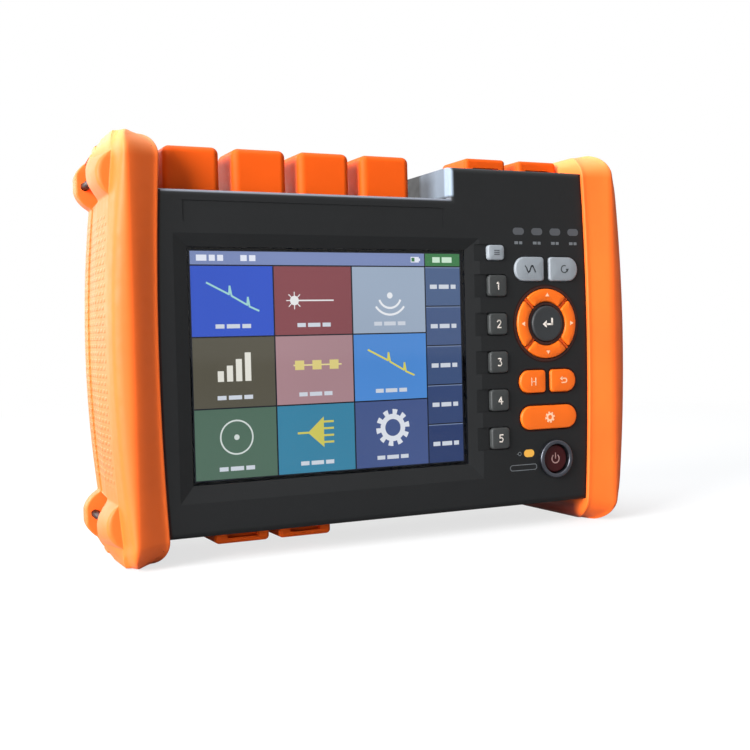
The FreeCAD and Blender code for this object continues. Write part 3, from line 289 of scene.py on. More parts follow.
@dataclass(frozen=True)
class Shell(Moulding):
    """Housing plastic, with a painted highlight on the front of the raised block's flank, a brighter one on
    its front corner, and another along the deck's front edge.

    Attributes:
        flank: Display colour of the painted highlight on the flank.
        corner: Display colour of the brighter painted highlight on the flank's front corner.
        edge: Display colour of the painted highlight along the deck's front edge.
        flank_x: Plane of the flank.
        flank_z: Height at which it starts.
        flank_y: Where the flank's painted highlight ends, towards the rear.
        corner_y: Where the corner's painted highlight ends.
        edge_z: Height of the edge, as the start and end of its lower and of its upper fading.
        edge_y: Where the edge's painted highlight ends.
    """

    flank: str = "68727E"
    corner: str = "8F9DAD"
    edge: str = "777B84"
    flank_x: float = 0.0256
    flank_z: float = 0.1305
    flank_y: Pair = (-0.007, -0.0045)
    corner_y: Pair = (-0.0262, -0.025)
    edge_z: Box = (0.1288, 0.1294, 0.1303, 0.1306)
    edge_y: Pair = (-0.0272, -0.0262)

    def colour(self, nodes: Nodes) -> Socket:
        """Base colour, with the painted highlight of the flank near its plane and that of the edge along the
        deck.

        Args:
            nodes: The material.

        Returns:
            The colour.
        """
        x, y, z = nodes.axes()
        # Painted reflection: the front of the flank is lightened where the lamps' gloss would fall, brightest
        # at its front corner.
        flank = nodes.product(nodes.fall(nodes.off(x, self.flank_x), 0.0008, 0.0018),
                              nodes.rise(z, self.flank_z, self.flank_z + MM), nodes.fall(y, *self.flank_y))
        painted_highlight = nodes.mix(nodes.fall(y, *self.corner_y), tint(self.flank), tint(self.corner))
        # Painted highlight along the deck's rounded front edge.
        edge = nodes.product(nodes.rise(z, *self.edge_z[:2]), nodes.fall(z, *self.edge_z[2:]),
                             nodes.fall(y, *self.edge_y), nodes.fall(x, self.flank_x, self.flank_x + MM))
        return nodes.mix(edge, nodes.mix(flank, super().colour(nodes), painted_highlight), tint(self.edge))


@dataclass(frozen=True)
class RingWeb(Moulding):
    """Moulded web between the arrow keys: ribs in the main colour, and dark rims of painted shade in the gaps
    at the ring's inner and outer edge.

    Attributes:
        rim: Display colour of the rims, painted shade.
        centre: Centre of the ring in X and Z.
        band: Radii between which the ribs show.
    """

    rim: str = "321006"
    centre: Pair = (0.0682, 0.0814)
    band: Pair = (0.0087, 0.0140)

    def colour(self, nodes: Nodes) -> Socket:
        """Colour by the distance from the ring's centre.

        Args:
            nodes: The material.

        Returns:
            The colour.
        """
        blur = 0.1 * MM
        centre = (self.centre[0], 0.0, self.centre[1])
        shifted = nodes.add("VectorMath", {0: nodes.place, 1: centre}, operation="SUBTRACT").outputs[0]
        flat = nodes.add("VectorMath", {0: shifted, 1: (1.0, 0.0, 1.0)}, operation="MULTIPLY").outputs[0]
        radius = nodes.add("VectorMath", {0: flat}, operation="LENGTH").outputs["Value"]
        # Painted shade: outside the band of the ribs the web is dark, in the gaps round the ring.
        inside = nodes.rise(radius, self.band[0] - blur, self.band[0] + blur)
        outside = nodes.fall(radius, self.band[1] - blur, self.band[1] + blur)
        share = nodes.product(inside, outside, nodes.wander(60.0, 3.0, 0.85, 1.0))
        return nodes.mix(share, tint(self.rim), tint(self.code))


@dataclass(frozen=True)
class GripRubber(Finish):
    """Orange rubber whose outer sides carry rows of short slanting ribs, with a painted highlight at its
    upper end and painted shade on its low inner wall.

    Attributes:
        code: Display colour.
        tip_highlight_code: Display colour of the painted highlight that the upper end blends towards.
        low_shade_code: Display colour of the painted shade on the low inner wall, under the housing.
        rough: Mean roughness.
        pitch: Distance between ribs along a row, and between rows.
        rib: Height of a rib.
        lean: How far a rib slants over its row, in pitches.
        field_z: Middle and half height of the ribbed field.
        field_y: Start and end of its fading in at the front, and of its fading out at the rear.
        side: Distance from the middle plane at which the ribs start.
        tip: Height at which the painted highlight of the upper end reaches its full share.
    """

    code: str
    tip_highlight_code: str = "FFB469"
    low_shade_code: str = "6E200C"
    rough: float = 0.6
    pitch: Pair = (0.0052, 0.0026)
    rib: float = 0.00022
    lean: float = 0.22
    field_z: Pair = (0.075, 0.048)
    field_y: Box = (-0.023, -0.0215, 0.0185, 0.02)
    side: float = 0.1022
    tip: float = 0.149

    def ribs(self, nodes: Nodes, x: Socket, y: Socket, z: Socket) -> Socket:
        """Mask of the ribs: each row is shifted by half a pitch from the one below.

        Args:
            nodes: The material.
            x: Position to the right.
            y: Position to the rear.
            z: Height.

        Returns:
            The mask, from 0 between the ribs to 1 on them.
        """
        middle, half = self.field_z
        row = nodes.math("DIVIDE", z, self.pitch[1])
        within = nodes.math("FRACT", row)
        odd = nodes.product(nodes.math("MODULO", nodes.math("FLOOR", row), 2.0), 0.5)
        along = nodes.math("ADD", nodes.math("DIVIDE", y, self.pitch[0]), odd)
        slanted = nodes.math("FRACT", nodes.math("ADD", along, nodes.product(within, self.lean)))
        rib = nodes.product(nodes.fall(nodes.off(within, 0.5), 0.12, 0.3),
                            nodes.fall(nodes.off(slanted, 0.5), 0.24, 0.34))
        tall = nodes.fall(nodes.off(z, middle), half - 0.002, half)
        level = nodes.product(nodes.rise(y, *self.field_y[:2]), nodes.fall(y, *self.field_y[2:]))
        outer = nodes.rise(nodes.off(x), self.side - 0.0005, self.side)
        return nodes.product(rib, tall, level, outer)

    def fill(self, nodes: Nodes) -> None:
        """Sets the material's shader.

        Args:
            nodes: The material.
        """
        x, y, z = nodes.axes()
        ribs = self.ribs(nodes, x, y, z)
        colour = nodes.mix(nodes.wander(36.0, 3.0, 0.0, 1.0), tint(self.code, 0.93), tint(self.code, 1.05))
        colour = nodes.mix(nodes.product(ribs, 0.25), colour, tint(self.code, 0.7))
        # Painted highlight: the upper end is lightened towards a pale orange.
        colour = nodes.mix(nodes.ramp(z, self.tip - 0.009, self.tip, 0.0, 0.5), colour, tint(self.tip_highlight_code))
        # Painted shade: the inner wall low down under the housing is darkened.
        low = nodes.product(nodes.fall(z, 0.006, 0.0095), nodes.fall(nodes.off(x), 0.0895, 0.0915),
                            nodes.rise(y, -0.026, -0.021))
        colour = nodes.mix(low, colour, tint(self.low_shade_code))
        rough = nodes.wander(260.0, 2.0, self.rough - 0.05, self.rough + 0.06, 0.25)
        relief = nodes.bump(nodes.noise(2400.0, 1.0), 0.000018, nodes.bump(ribs, self.rib))
        nodes.set(Base_Color=colour, Roughness=rough, Normal=relief)
        nodes.set(Specular_IOR_Level=0.45, Sheen_Weight=0.06)


@dataclass(frozen=True)
class Metal(Finish):
    """Plated or turned metal with fine tool marks.

    Attributes:
        code: Display colour.
        rough: Mean roughness.
        marks: Tool marks per metre, along Z.
    """

    code: str
    rough: float = 0.3
    marks: float = 1800.0

    def fill(self, nodes: Nodes) -> None:
        """Sets the material's shader.

        Args:
            nodes: The material.
        """
        stretched = nodes.add("Mapping", {0: nodes.place, 3: (0.15, 0.15, 1.0)}).outputs[0]
        lines = nodes.add("TexNoise", {"Vector": stretched, "Scale": self.marks, "Detail": 1.0}).outputs[0]
        rough = nodes.ramp(lines, 0.3, 0.7, self.rough - 0.08, self.rough + 0.08)
        nodes.set(Base_Color=tint(self.code), Metallic=1.0, Roughness=rough)
        nodes.set(Normal=nodes.bump(lines, 0.000006))


@dataclass(frozen=True)
class LitLens(Finish):
    """Frosted lens with a small lamp behind it.

    Attributes:
        code: Display colour of the lens and its light.
        rough: Roughness.
        glow: Strength of the light.
    """

    code: str
    rough: float
    glow: float

    def fill(self, nodes: Nodes) -> None:
        """Sets the material's shader.

        Args:
            nodes: The material.
        """
        haze = nodes.wander(900.0, 1.0, self.rough, self.rough + 0.02)
        nodes.set(Base_Color=tint(self.code), Roughness=haze, Coat_Weight=0.5)
        nodes.set(Emission_Color=tint(self.code), Emission_Strength=self.glow)


@dataclass(frozen=True)
class WindowGlass(Finish):
    """Flat cover window: nearly invisible, with a gloss that grows towards grazing angles.

    Attributes:
        clear: Linear colour of what shines through.
        index: Refractive index, which sets the share of gloss.
    """

    clear: Colour = (0.96, 0.97, 0.98)
    index: float = 1.3

    def fill(self, nodes: Nodes) -> None:
        """Sets the material's shader.

        Args:
            nodes: The material.
        """
        clear = nodes.add("BsdfTransparent", {0: self.clear})
        gloss = nodes.add("BsdfGlossy", {"Color": WHITE, "Roughness": nodes.wander(24.0, 1.0, 0.05, 0.06)})
        nodes.blend(nodes.add("Fresnel", {"IOR": self.index}).outputs[0], clear, gloss)


# Stage, lamps and camera

@dataclass
class Lamp:
    """Rectangular soft light.

    Attributes:
        name: Name of the lamp.
        place: Where it hangs.
        size: Width and height.
        watts: Power.
        colour: Linear colour.
        aim: Point that it faces.
    """

    name: str
    place: tuple[float, float, float]
    size: Pair
    watts: float
    colour: Colour = WHITE
    aim: tuple[float, float, float] = (0.0, 0.0, 0.07)

    def build(self) -> None:
        """Hangs the lamp."""
        data = bpy.data.lights.new(self.name, "AREA")
        data.shape = "RECTANGLE"
        data.size, data.size_y = self.size
        data.energy = self.watts
        data.color = self.colour
        lamp = placed(self.name, data)
        lamp.location = self.place
        lamp.rotation_euler = (Vector(self.aim) - Vector(self.place)).to_track_quat("-Z", "Y").to_euler()


@dataclass
class Studio:
    """White table and backdrop, soft lamps and the camera of the picture.

    Attributes:
        camera_at: Camera place.
        yaw: Turn of the view from +Y towards +X, in degrees.
        pitch: Tilt above the horizon, in degrees.
        roll: Turn about the view, in degrees.
        lens: Focal length in millimetres.
        sensor: Width of the sensor in millimetres.
        ambient: Strength of the world as a light.
        table_half: Half the side of the table.
        lamps: The lamps.
    """

    camera_at: tuple[float, float, float] = (-0.1848, -0.40316, 0.07668)
    yaw: float = 25.34
    pitch: float = -1.83
    roll: float = -1.40
    lens: float = 53.36
    sensor: float = 36.0
    ambient: float = 0.14
    table_half: float = 4.0
    lamps: tuple[Lamp, ...] = (
        Lamp("key_lamp", (-1.3, -0.52, 0.5), (0.7, 0.8), 50.0),
        Lamp("rim_lamp", (-0.85, 1.5, 0.45), (1.8, 1.2), 22.0),
        Lamp("top_lamp", (-0.15, 0.12, 1.25), (0.9, 0.9), 15.0, (0.86, 0.93, 1.0)),
        Lamp("front_lamp", (-0.75, -1.4, 0.5), (0.9, 0.8), 3.0),
    )

    def build(self) -> None:
        """Sets up the view settings, world, table, lamps and camera."""
        bpy.context.scene.view_settings.view_transform = "Standard"
        self.light_world()
        self.lay_table()
        for lamp in self.lamps:
            lamp.build()
        self.place_camera()

    def light_world(self) -> None:
        """White world: full white to the camera and in reflections, weaker as a light."""
        world = bpy.data.worlds.new("studio_world")
        bpy.context.scene.world = world
        world.use_nodes = True
        tree = world.node_tree
        background = tree.nodes["Background"]
        background.inputs[0].default_value = (*WHITE, 1.0)
        path = tree.nodes.new("ShaderNodeLightPath")
        total = path.outputs["Is Camera Ray"]
        for name in ("Is Glossy Ray", "Is Transmission Ray"):
            both = tree.nodes.new("ShaderNodeMath")
            both.operation = "MAXIMUM"
            tree.links.new(total, both.inputs[0])
            tree.links.new(path.outputs[name], both.inputs[1])
            total = both.outputs[0]
        seen = tree.nodes.new("ShaderNodeMapRange")
        tree.links.new(total, seen.inputs[0])
        seen.inputs[3].default_value = self.ambient
        seen.inputs[4].default_value = 1.0
        tree.links.new(seen.outputs[0], background.inputs[1])

    def lay_table(self) -> None:
        """White table, which fades into plain white away from the soft shadow."""
        nodes = Nodes("studio_floor")
        seen = nodes.add("LightPath").outputs["Is Camera Ray"]
        paint = nodes.mix(seen, (0.34, 0.34, 0.34), (0.9, 0.9, 0.9))
        nodes.set(Base_Color=paint, Roughness=0.9, Specular_IOR_Level=0.1)
        white = nodes.add("Emission", {0: WHITE, 1: 1.0})
        away = nodes.add("VectorMath", {0: nodes.place}, operation="LENGTH").outputs["Value"]
        nodes.blend(nodes.product(seen, nodes.ramp(away, 0.25, 0.9, 0.72, 1.0)), nodes.shader, white)
        mesh = bpy.data.meshes.new("floor")
        half = self.table_half
        corners = [(-half, -half, 0), (half, -half, 0), (half, half, 0), (-half, half, 0)]
        mesh.from_pydata(corners, [], [(0, 1, 2, 3)])
        mesh.materials.append(nodes.material)
        floor = placed("floor", mesh)

    def place_camera(self) -> None:
        """Puts the camera where the picture was taken: view axis from yaw and pitch, then the roll."""
        yaw, pitch, roll = (math.radians(v) for v in (self.yaw, self.pitch, self.roll))
        ahead = Vector((math.sin(yaw) * math.cos(pitch), math.cos(yaw) * math.cos(pitch), math.sin(pitch)))
        level = Vector((math.cos(yaw), -math.sin(yaw), 0.0))
        above = level.cross(ahead)
        right = level * math.cos(roll) + above * math.sin(roll)
        up = above * math.cos(roll) - level * math.sin(roll)
        data = bpy.data.cameras.new("picture_camera")
        data.sensor_width = self.sensor
        data.lens = self.lens
        data.clip_start = 0.01
        camera = placed("picture_camera", data)
        turn = Matrix((right, up, -ahead)).transposed().to_4x4()
        camera.matrix_world = Matrix.Translation(self.camera_at) @ turn
        bpy.context.scene.camera = camera


# Surfaces

CORNER_STEPS = 8


def unit(degrees: Array) -> Array:
    """Points of the unit circle at angles in degrees, (n, 2)."""
    turns = np.radians(degrees)
    return np.stack([np.cos(turns), np.sin(turns)], axis=-1)


def upright(flat: Array, y: float) -> Array:
    """Points in X and Z, stood up at a depth, (n, 3)."""
    return np.stack([flat[:, 0], np.full(len(flat), y), flat[:, 1]], axis=1)


def soften(corners: Array, radii: Sequence[float], steps: int = 5) -> Array:
    """Closed loops with rounded corners, one loop per height.

    Each corner is replaced by a quadratic curve that starts and ends the stated distance from it, or
    45 % of the way to the next corner where that is nearer.

    Args:
        corners: Corner points, (heights, corners, 2).
        radii: Distance for each corner.
        steps: Points on each rounded corner.

    Returns:
        The loops, (heights, corners * steps, 2).
    """
    ahead = np.roll(corners, -1, axis=1) - corners
    behind = np.roll(corners, 1, axis=1) - corners
    far = np.linalg.norm(ahead, axis=2, keepdims=True) + 1e-9
    near = np.linalg.norm(behind, axis=2, keepdims=True) + 1e-9
    wanted = np.asarray(radii, dtype=float)[None, :, None]
    start = (corners + behind / near * np.minimum(wanted, 0.45 * near))[:, :, None]
    end = (corners + ahead / far * np.minimum(wanted, 0.45 * far))[:, :, None]
    t = np.linspace(0, 1, steps)[None, None, :, None]
    curve = start * (1 - t) ** 2 + corners[:, :, None] * 2 * t * (1 - t) + end * t ** 2
    return curve.reshape(len(corners), -1, 2)


def stacked(loops: Array, last_cap: bool = True) -> tuple[Array, Rows]:
    """Vertices and faces of a skin through closed loops, the first of them closed by a fan.

    Args:
        loops: Points in order round each loop, (loops, points, 3).
        last_cap: Whether the last loop is closed by a fan too.

    Returns:
        Vertices and faces. The skin faces outwards where the loops turn left seen from the last one.
    """
    count, points = loops.shape[:2]
    grid = np.arange(count * points).reshape(count, points)
    after = np.roll(grid, -1, axis=1)
    faces = np.stack([grid[:-1], after[:-1], after[1:], grid[1:]], axis=-1).reshape(-1, 4).tolist()
    vertices = loops.reshape(-1, 3)
    fans = [(0, after[0], grid[0])] + ([(-1, grid[-1], after[-1])] if last_cap else [])
    for row, first, second in fans:
        faces += np.stack([first, second, np.full(points, len(vertices))], axis=-1).tolist()
        vertices = np.vstack([vertices, loops[row].mean(axis=0)])
    return vertices, faces


def rounded_rect(box: Box, radii: Pair, inset: float = 0.0) -> Array:
    """Outline of a rounded rectangle, anticlockwise in X and Z.

    Args:
        box: Left, right, lower and upper side.
        radii: Corner radius on the left and on the right.
        inset: How far the whole outline is shrunk.

    Returns:
        The points, (4 * CORNER_STEPS, 2).
    """
    x0, x1, z0, z1 = box
    half = min(x1 - x0, z1 - z0) / 2
    inset = min(inset, half - 0.02)
    x0, x1, z0, z1 = x0 + inset, x1 - inset, z0 + inset, z1 - inset
    left, right = (max(0.01, min(radius - inset, half - inset)) for radius in radii)
    turns = np.linspace(0, 90, CORNER_STEPS)
    corners = ((x1 - right, z0 + right, right, -90), (x1 - right, z1 - right, right, 0),
               (x0 + left, z1 - left, left, 90), (x0 + left, z0 + left, left, 180))
    return np.vstack([np.array([x, z]) + radius * unit(turns + start) for x, z, radius, start in corners])


@dataclass
class Sheet:
    """Mesh parts of one piece, in millimetres.

    Attributes:
        name: Name of the piece.
        body: Moving body that it rides.
        vertices: Points of each part.
        faces: Faces of each part, as rows of vertex numbers.
    """

    name: str
    body: str
    vertices: list[Array] = field(default_factory=list)
    faces: list[Rows] = field(default_factory=list)

    def add(self, vertices: Array, faces: Rows) -> None:
        """Adds one part by its points, (n, 3), and its faces as rows of its own vertex numbers."""
        self.vertices.append(vertices)
        self.faces.append(faces)

    def build(self, material: Material, replaces: Sequence[str] = (), sharp: float = 40.0,
              flip: bool = False) -> bpy.types.Object:
        """Makes the object, lets it ride its body and hides what it replaces.

        Args:
            material: Its material.
            replaces: CAD nodes that it stands for.
            sharp: Angle in degrees above which an edge stays crisp.
            flip: Whether the order of every face is turned round.

        Returns:
            The object.
        """
        starts = np.cumsum([0] + [len(v) for v in self.vertices[:-1]]).tolist()
        faces = [[i + start for i in (face[::-1] if flip else face)]
                 for start, part in zip(starts, self.faces) for face in part]
        mesh = bpy.data.meshes.new(self.name)
        mesh.from_pydata((np.vstack(self.vertices) * MM).tolist(), [], faces)
        mesh.materials.append(material)
        mesh.validate()
        mesh.shade_smooth()
        mesh.set_sharp_from_angle(angle=math.radians(sharp))
        piece = placed(self.name, mesh)
        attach(piece, self.body)
        if replaces:
            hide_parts(*replaces)
        LOG.info("built %s: %d faces", self.name, len(faces))
        return piece


@dataclass
class Legends(Sheet):
    """Thin marks on one piece, just in front of its face.

    Attributes:
        y: Plane of the marks.
        thick: Their thickness.
    """

    y: float = -30.03
    thick: float = 0.03

    def put(self, shapes: Iterable[Array], x: float = 0.0, z: float = 0.0, size: float = 1.0,
            turn: float = 0.0) -> Legends:
        """Adds marks at a place.

        Args:
            shapes: Outlines, anticlockwise seen from the front.
            x: Where their origin goes.
            z: Where their origin goes.
            size: Factor on the outlines.
            turn: Turn in degrees, anticlockwise seen from the front.

        Returns:
            These legends.
        """
        c, s = math.cos(math.radians(turn)), math.sin(math.radians(turn))
        for shape in shapes:
            front = upright(np.array([x, z]) + shape * size @ np.array([[c, s], [-s, c]]), self.y)
            count = len(front)
            rim = [[i + count, (i + 1) % count + count, (i + 1) % count, i] for i in range(count)]
            caps = [list(range(count)), list(range(2 * count - 1, count - 1, -1))]
            self.add(np.vstack([front, front + np.array([0.0, self.thick, 0.0])]), caps + rim)
        return self


# Bumpers

HEIGHT = 150.0
HALF_DEPTH = 35.0
HALF_WIDTH = 107.5
SKIN_REACH = 107.45
LUG_Z = 15.0
LUG_FLOOR = 97.7
LUG_HALF = 7.7
BOW_HALF = 63.0
BOW_MOST = 1.1
SKIN_SHARP = 50.0


def bow_at(z: Array) -> Array:
    """Share of the full bow at each height: a parabola about mid-height, held near the ends."""
    return np.minimum(((z - HEIGHT / 2) / BOW_HALF) ** 2, BOW_MOST)


def rounding(end: Array, rise: float, run: float) -> Array:
    """Quarter ellipse that takes an edge back towards the upper and the lower end.

    Args:
        end: Distance from the nearer end.
        rise: Height over which it acts.
        run: How far it takes the edge back at the end.

    Returns:
        How far the edge lies back.
    """
    left = np.clip(1 - end / rise, 0, 1)
    return run * (1 - np.sqrt(1 - left ** 2))


@dataclass
class BumperSkin:
    """Soft rubber bumper as plan loops stacked over its height, given as if on the right.

    Attributes:
        side: -1 for the left bumper, 1 for the right one.
        shade_top: Height at which the dark strip of painted shade between the lip and the housing ends.
        shade_low: Height at which it starts.
        shade_edges: Its edges, from the lip's outwards.
        lip_x: Inner edge at mid-height.
        lip_bow: How far it bows.
        lip_corner: Rise and run of its corner at the top and the bottom.
        side_x: Flat side at mid-height.
        side_bow: How far it bows.
        corner: Rise and run of the outer corner.
        nose_corner: The same of the nose in front of it.
        nose_in: The same of the nose's inner corner, towards the housing.
        crest_x: Foremost line of the nose.
        inner_x: Inner edge of the nose's front.
        front_y: Planes of the lip and of that inner edge.
        nose_end: Rise and run of the nose's front at the top and the bottom, seen from the side.
        tail_x: Side at mid-height where the tail starts.
        tail_bow: How far it bows there.
        tail_r: Side-view rounding of the tail.
    """

    side: int
    shade_top: float
    shade_low: float = 9.7
    shade_edges: Pair = (-0.85, 0.5)
    lip_x: float = 88.0
    lip_bow: float = 1.771
    lip_corner: Pair = (4.6, 4.2)
    side_x: float = 105.5
    side_bow: float = 3.0
    corner: Pair = (4.0, 1.6)
    nose_corner: Pair = (10.0, 4.6)
    nose_in: Pair = (13.0, 4.0)
    crest_x: float = 98.4
    inner_x: float = 94.0
    front_y: Pair = (-31.5, -33.3)
    nose_end: Pair = (9.0, 10.0)
    tail_x: float = 104.3
    tail_bow: float = 4.2
    tail_r: float = 14.0

    @property
    def hand(self) -> str:
        """Which bumper it is, as in its names."""
        return "left" if self.side < 0 else "right"

    def ear(self, z: Array, x: Array, centre: float, radius: float, blend: float) -> Array:
        """How far a half-round ear stands out of the side.

        It is the height of a circle above the side, with the foot blended in.

        Args:
            z: Heights.
            x: Side at each height.
            centre: Distance of the ear's centre from the nearer end.
            radius: Its radius.
            blend: Size of the blend at its foot.

        Returns:
            The standout at each height, zero beyond the ear.
        """
        off = np.minimum(np.abs(z - centre), np.abs(z - (HEIGHT - centre)))
        arc = np.where(off < radius, np.sqrt(np.maximum(radius ** 2 - off ** 2, 0)), (radius - off) * 1.6)
        rise = HALF_WIDTH - radius + arc - x
        share = np.clip(0.5 + 0.5 * rise / blend, 0, 1)
        return np.minimum(rise * share + blend * share * (1 - share), SKIN_REACH - x)

    def corners(self, z: Array) -> tuple[Array, list[float]]:
        """Corner points of the plan at each height, from the inner rear corner past the front.

        Args:
            z: Heights.

        Returns:
            The points, (heights, corners, 2), and how far each corner is rounded.
        """
        end, bow = np.minimum(z, HEIGHT - z), bow_at(z)
        side = self.side_x - self.side_bow * bow - rounding(end, *self.corner)
        nose = self.side_x - (self.side_bow + 0.6) * bow - rounding(end, *self.nose_corner)
        lip = self.lip_x - self.lip_bow * bow + rounding(end, *self.lip_corner)
        tail = np.minimum(self.tail_x - self.tail_bow * bow, side - 0.6)
        y_nose = rounding(end, *self.nose_end) - HALF_DEPTH
        y_tail = HALF_DEPTH - rounding(end, self.tail_r, self.tail_r)
        y_lip = self.front_y[0] + rounding(end, 10.0, 14.0)
        y_in = np.maximum(y_nose + 0.9, self.front_y[1] + rounding(end, 8.0, 11.0))
        y_step = np.maximum(-25.0, y_nose + 4.0)
        y_side = np.minimum(20.0, y_tail - 5.0)
        front = self.ear(z, side, LUG_Z, 8.2, 0.5)
        back = self.ear(z, side, 12.6, 10.6, 3.0)
        rear = self.ear(z, tail, 14.2, 9.4, 1.2)
        pocket = np.clip(LUG_HALF - np.abs(end - LUG_Z), 0, 1)
        crest = np.maximum(np.minimum(self.crest_x, nose - 1.5), lip + 3.4)
        inner = np.maximum(np.minimum(self.inner_x + rounding(end, *self.nose_in), crest - 1.5), lip + 1.9)
        step = np.maximum(side, crest + 1.2)
        table = (
            (lip, y_tail, 1.6),
            (lip, y_lip, 0.7),
            (lip + 1.6, y_lip - 0.02, 1.6),
            (inner, y_in, 4.0),
            (crest, y_nose, 4.0),
            (np.maximum(nose - 0.6, crest + 0.4), np.minimum(y_nose + 2.2, y_step - 1.6), 3.4),
            (np.maximum(np.minimum(nose, side), crest + 0.8), np.minimum(y_nose + 7.4, y_step - 0.6), 3.2),
            (step, y_step, 0.3),
            (step + front, y_step - 0.02, 2.2),
            (side + back, -6.0, 1.6),
            (side + back + (LUG_FLOOR - side - back) * pocket, -5.98, 0.4),
            (tail + rear + (LUG_FLOOR - tail - rear) * pocket, 10.98, 0.4),
            (np.minimum(tail + 0.6 + rear, SKIN_REACH), 11.0, 0.8),
            (np.minimum(tail + 0.2 + rear, SKIN_REACH), np.minimum(19.0, y_side - 0.5), 1.8),
            (tail, np.minimum(19.02, y_side - 0.45), 0.6),
            (tail - 0.6, y_side + 2.0, 7.0),
            (tail - 1.9, np.minimum(31.2, y_tail - 1.5), 6.0),
            (np.maximum(tail - 5.0, lip + 2.0), y_tail, 3.0),
        )
        points = [np.stack(np.broadcast_arrays(x, y), axis=1) for x, y, _ in table]
        return np.stack(points, axis=1), [radius for _, _, radius in table]

    def build(self, material: Material) -> None:
        """Builds the skin in place of the CAD bumper, with loops close together over the ears.

        Args:
            material: Its finish.
        """
        low = np.concatenate([[0, 0.15, 0.4, 0.8], np.arange(1.25, 28, 0.45), np.arange(28, HEIGHT / 2, 3.0)])
        z = np.concatenate([low, [HEIGHT / 2], HEIGHT - low[::-1]])
        plan = soften(*self.corners(z))
        loops = np.concatenate([plan, np.broadcast_to(z[:, None, None], plan.shape[:2] + (1,))], axis=2)
        sheet = Sheet(f"bumper_skin_{self.hand}", "instrument")
        sheet.add(*stacked(loops * np.array([self.side, 1.0, 1.0])))
        piece = sheet.build(material, [f"bumper_{self.hand}"], SKIN_SHARP, self.side < 0)

    def gap_shade(self, material: Material) -> None:
        """Builds the dark strip of painted shade in the gap between the lip and the housing: a flat strip
        along the lip.

        Args:
            material: Its finish.
        """
        # Painted shade: a dark strip stands in for the shadow in the gap beside the lip.
        z = np.linspace(self.shade_low, self.shade_top, 40)
        x = (self.lip_x - self.lip_bow * bow_at(z)) * self.side
        near, far = sorted(edge * self.side for edge in self.shade_edges)
        left, right = np.stack([x + near, z], axis=1), np.stack([x + far, z], axis=1)
        strip = np.stack([left[:-1], right[:-1], right[1:], left[1:]], axis=1)
        Legends(f"lip_gap_shade_{self.hand}", "instrument").put(strip).build(material)


# Marks

def polygon(*points: Pair) -> list[Array]:
    """One outline through points."""
    return [np.array(points)]


def block(x0: float, x1: float, z0: float, z1: float) -> list[Array]:
    """Rectangle as one outline."""
    return polygon((x0, z0), (x1, z0), (x1, z1), (x0, z1))


def disc(radius: float, centre: Pair = (0.0, 0.0)) -> list[Array]:
    """Filled circle as one outline of 32 points."""
    return [np.array(centre) + radius * unit(np.arange(32) * 360 / 32)]


def band(line: Sequence[Pair] | Array, width: float) -> list[Array]:
    """Line of even width.

    Args:
        line: Points of the line.
        width: Width of the line.

    Returns:
        Quadrilaterals, one for each stretch, with joints filled by small overlaps.
    """
    points = np.asarray(line, dtype=float)
    a, b = points[:-1], points[1:]
    along = (b - a) / (np.linalg.norm(b - a, axis=1, keepdims=True) + 1e-9)
    out = np.stack([-along[:, 1], along[:, 0]], axis=1) * width / 2
    a, b = a - along * width * 0.3, b + along * width * 0.3
    return list(np.stack([a - out, b - out, b + out, a + out], axis=1))


def ring_arc(radius: float, start: float, end: float, width: float, steps: int = 24,
             centre: Pair = (0.0, 0.0)) -> list[Array]:
    """Arc of even width, as quadrilaterals.

    Args:
        radius: Middle radius.
        start: First angle in degrees.
        end: Last angle in degrees.
        width: Width of the line.
        steps: Stretches along the arc.
        centre: Centre of the arc.

    Returns:
        The quadrilaterals.
    """
    arms = unit(np.linspace(start, end, steps + 1))
    inner, outer = (np.array(centre) + arms * (radius + half) for half in (-width / 2, width / 2))
    return list(np.stack([inner[:-1], outer[:-1], outer[1:], inner[1:]], axis=1))


def frame_band(inner: Array, outer: Array) -> list[Array]:
    """Closed band between two outlines of the same number of points, as quadrilaterals."""
    return list(np.stack([inner, outer, np.roll(outer, -1, axis=0), np.roll(inner, -1, axis=0)], axis=1))


def gear(radius: float, teeth: int, hole: float) -> list[Array]:
    """Toothed ring: a band between a hole and a stepped outline.

    Args:
        radius: Outer radius.
        teeth: Number of teeth.
        hole: Radius of the hole.

    Returns:
        The quadrilaterals.
    """
    arms = unit(np.arange(teeth * 4 + 1) * 90 / teeth)
    size = np.tile([radius, radius, radius * 0.74, radius * 0.74], teeth)[:, None]
    first, second = arms[:-1], arms[1:]
    return list(np.stack([first * hole, first * size, second * size, second * hole], axis=1))


class Glyph(Enum):
    """Simple marks printed on the keys."""

    TRIANGLE = auto()
    RETURN = auto()
    POWER = auto()
    MENU = auto()
    BACK = auto()
    CURSORS = auto()
    GEAR = auto()
    WAVE = auto()
    AUTO = auto()


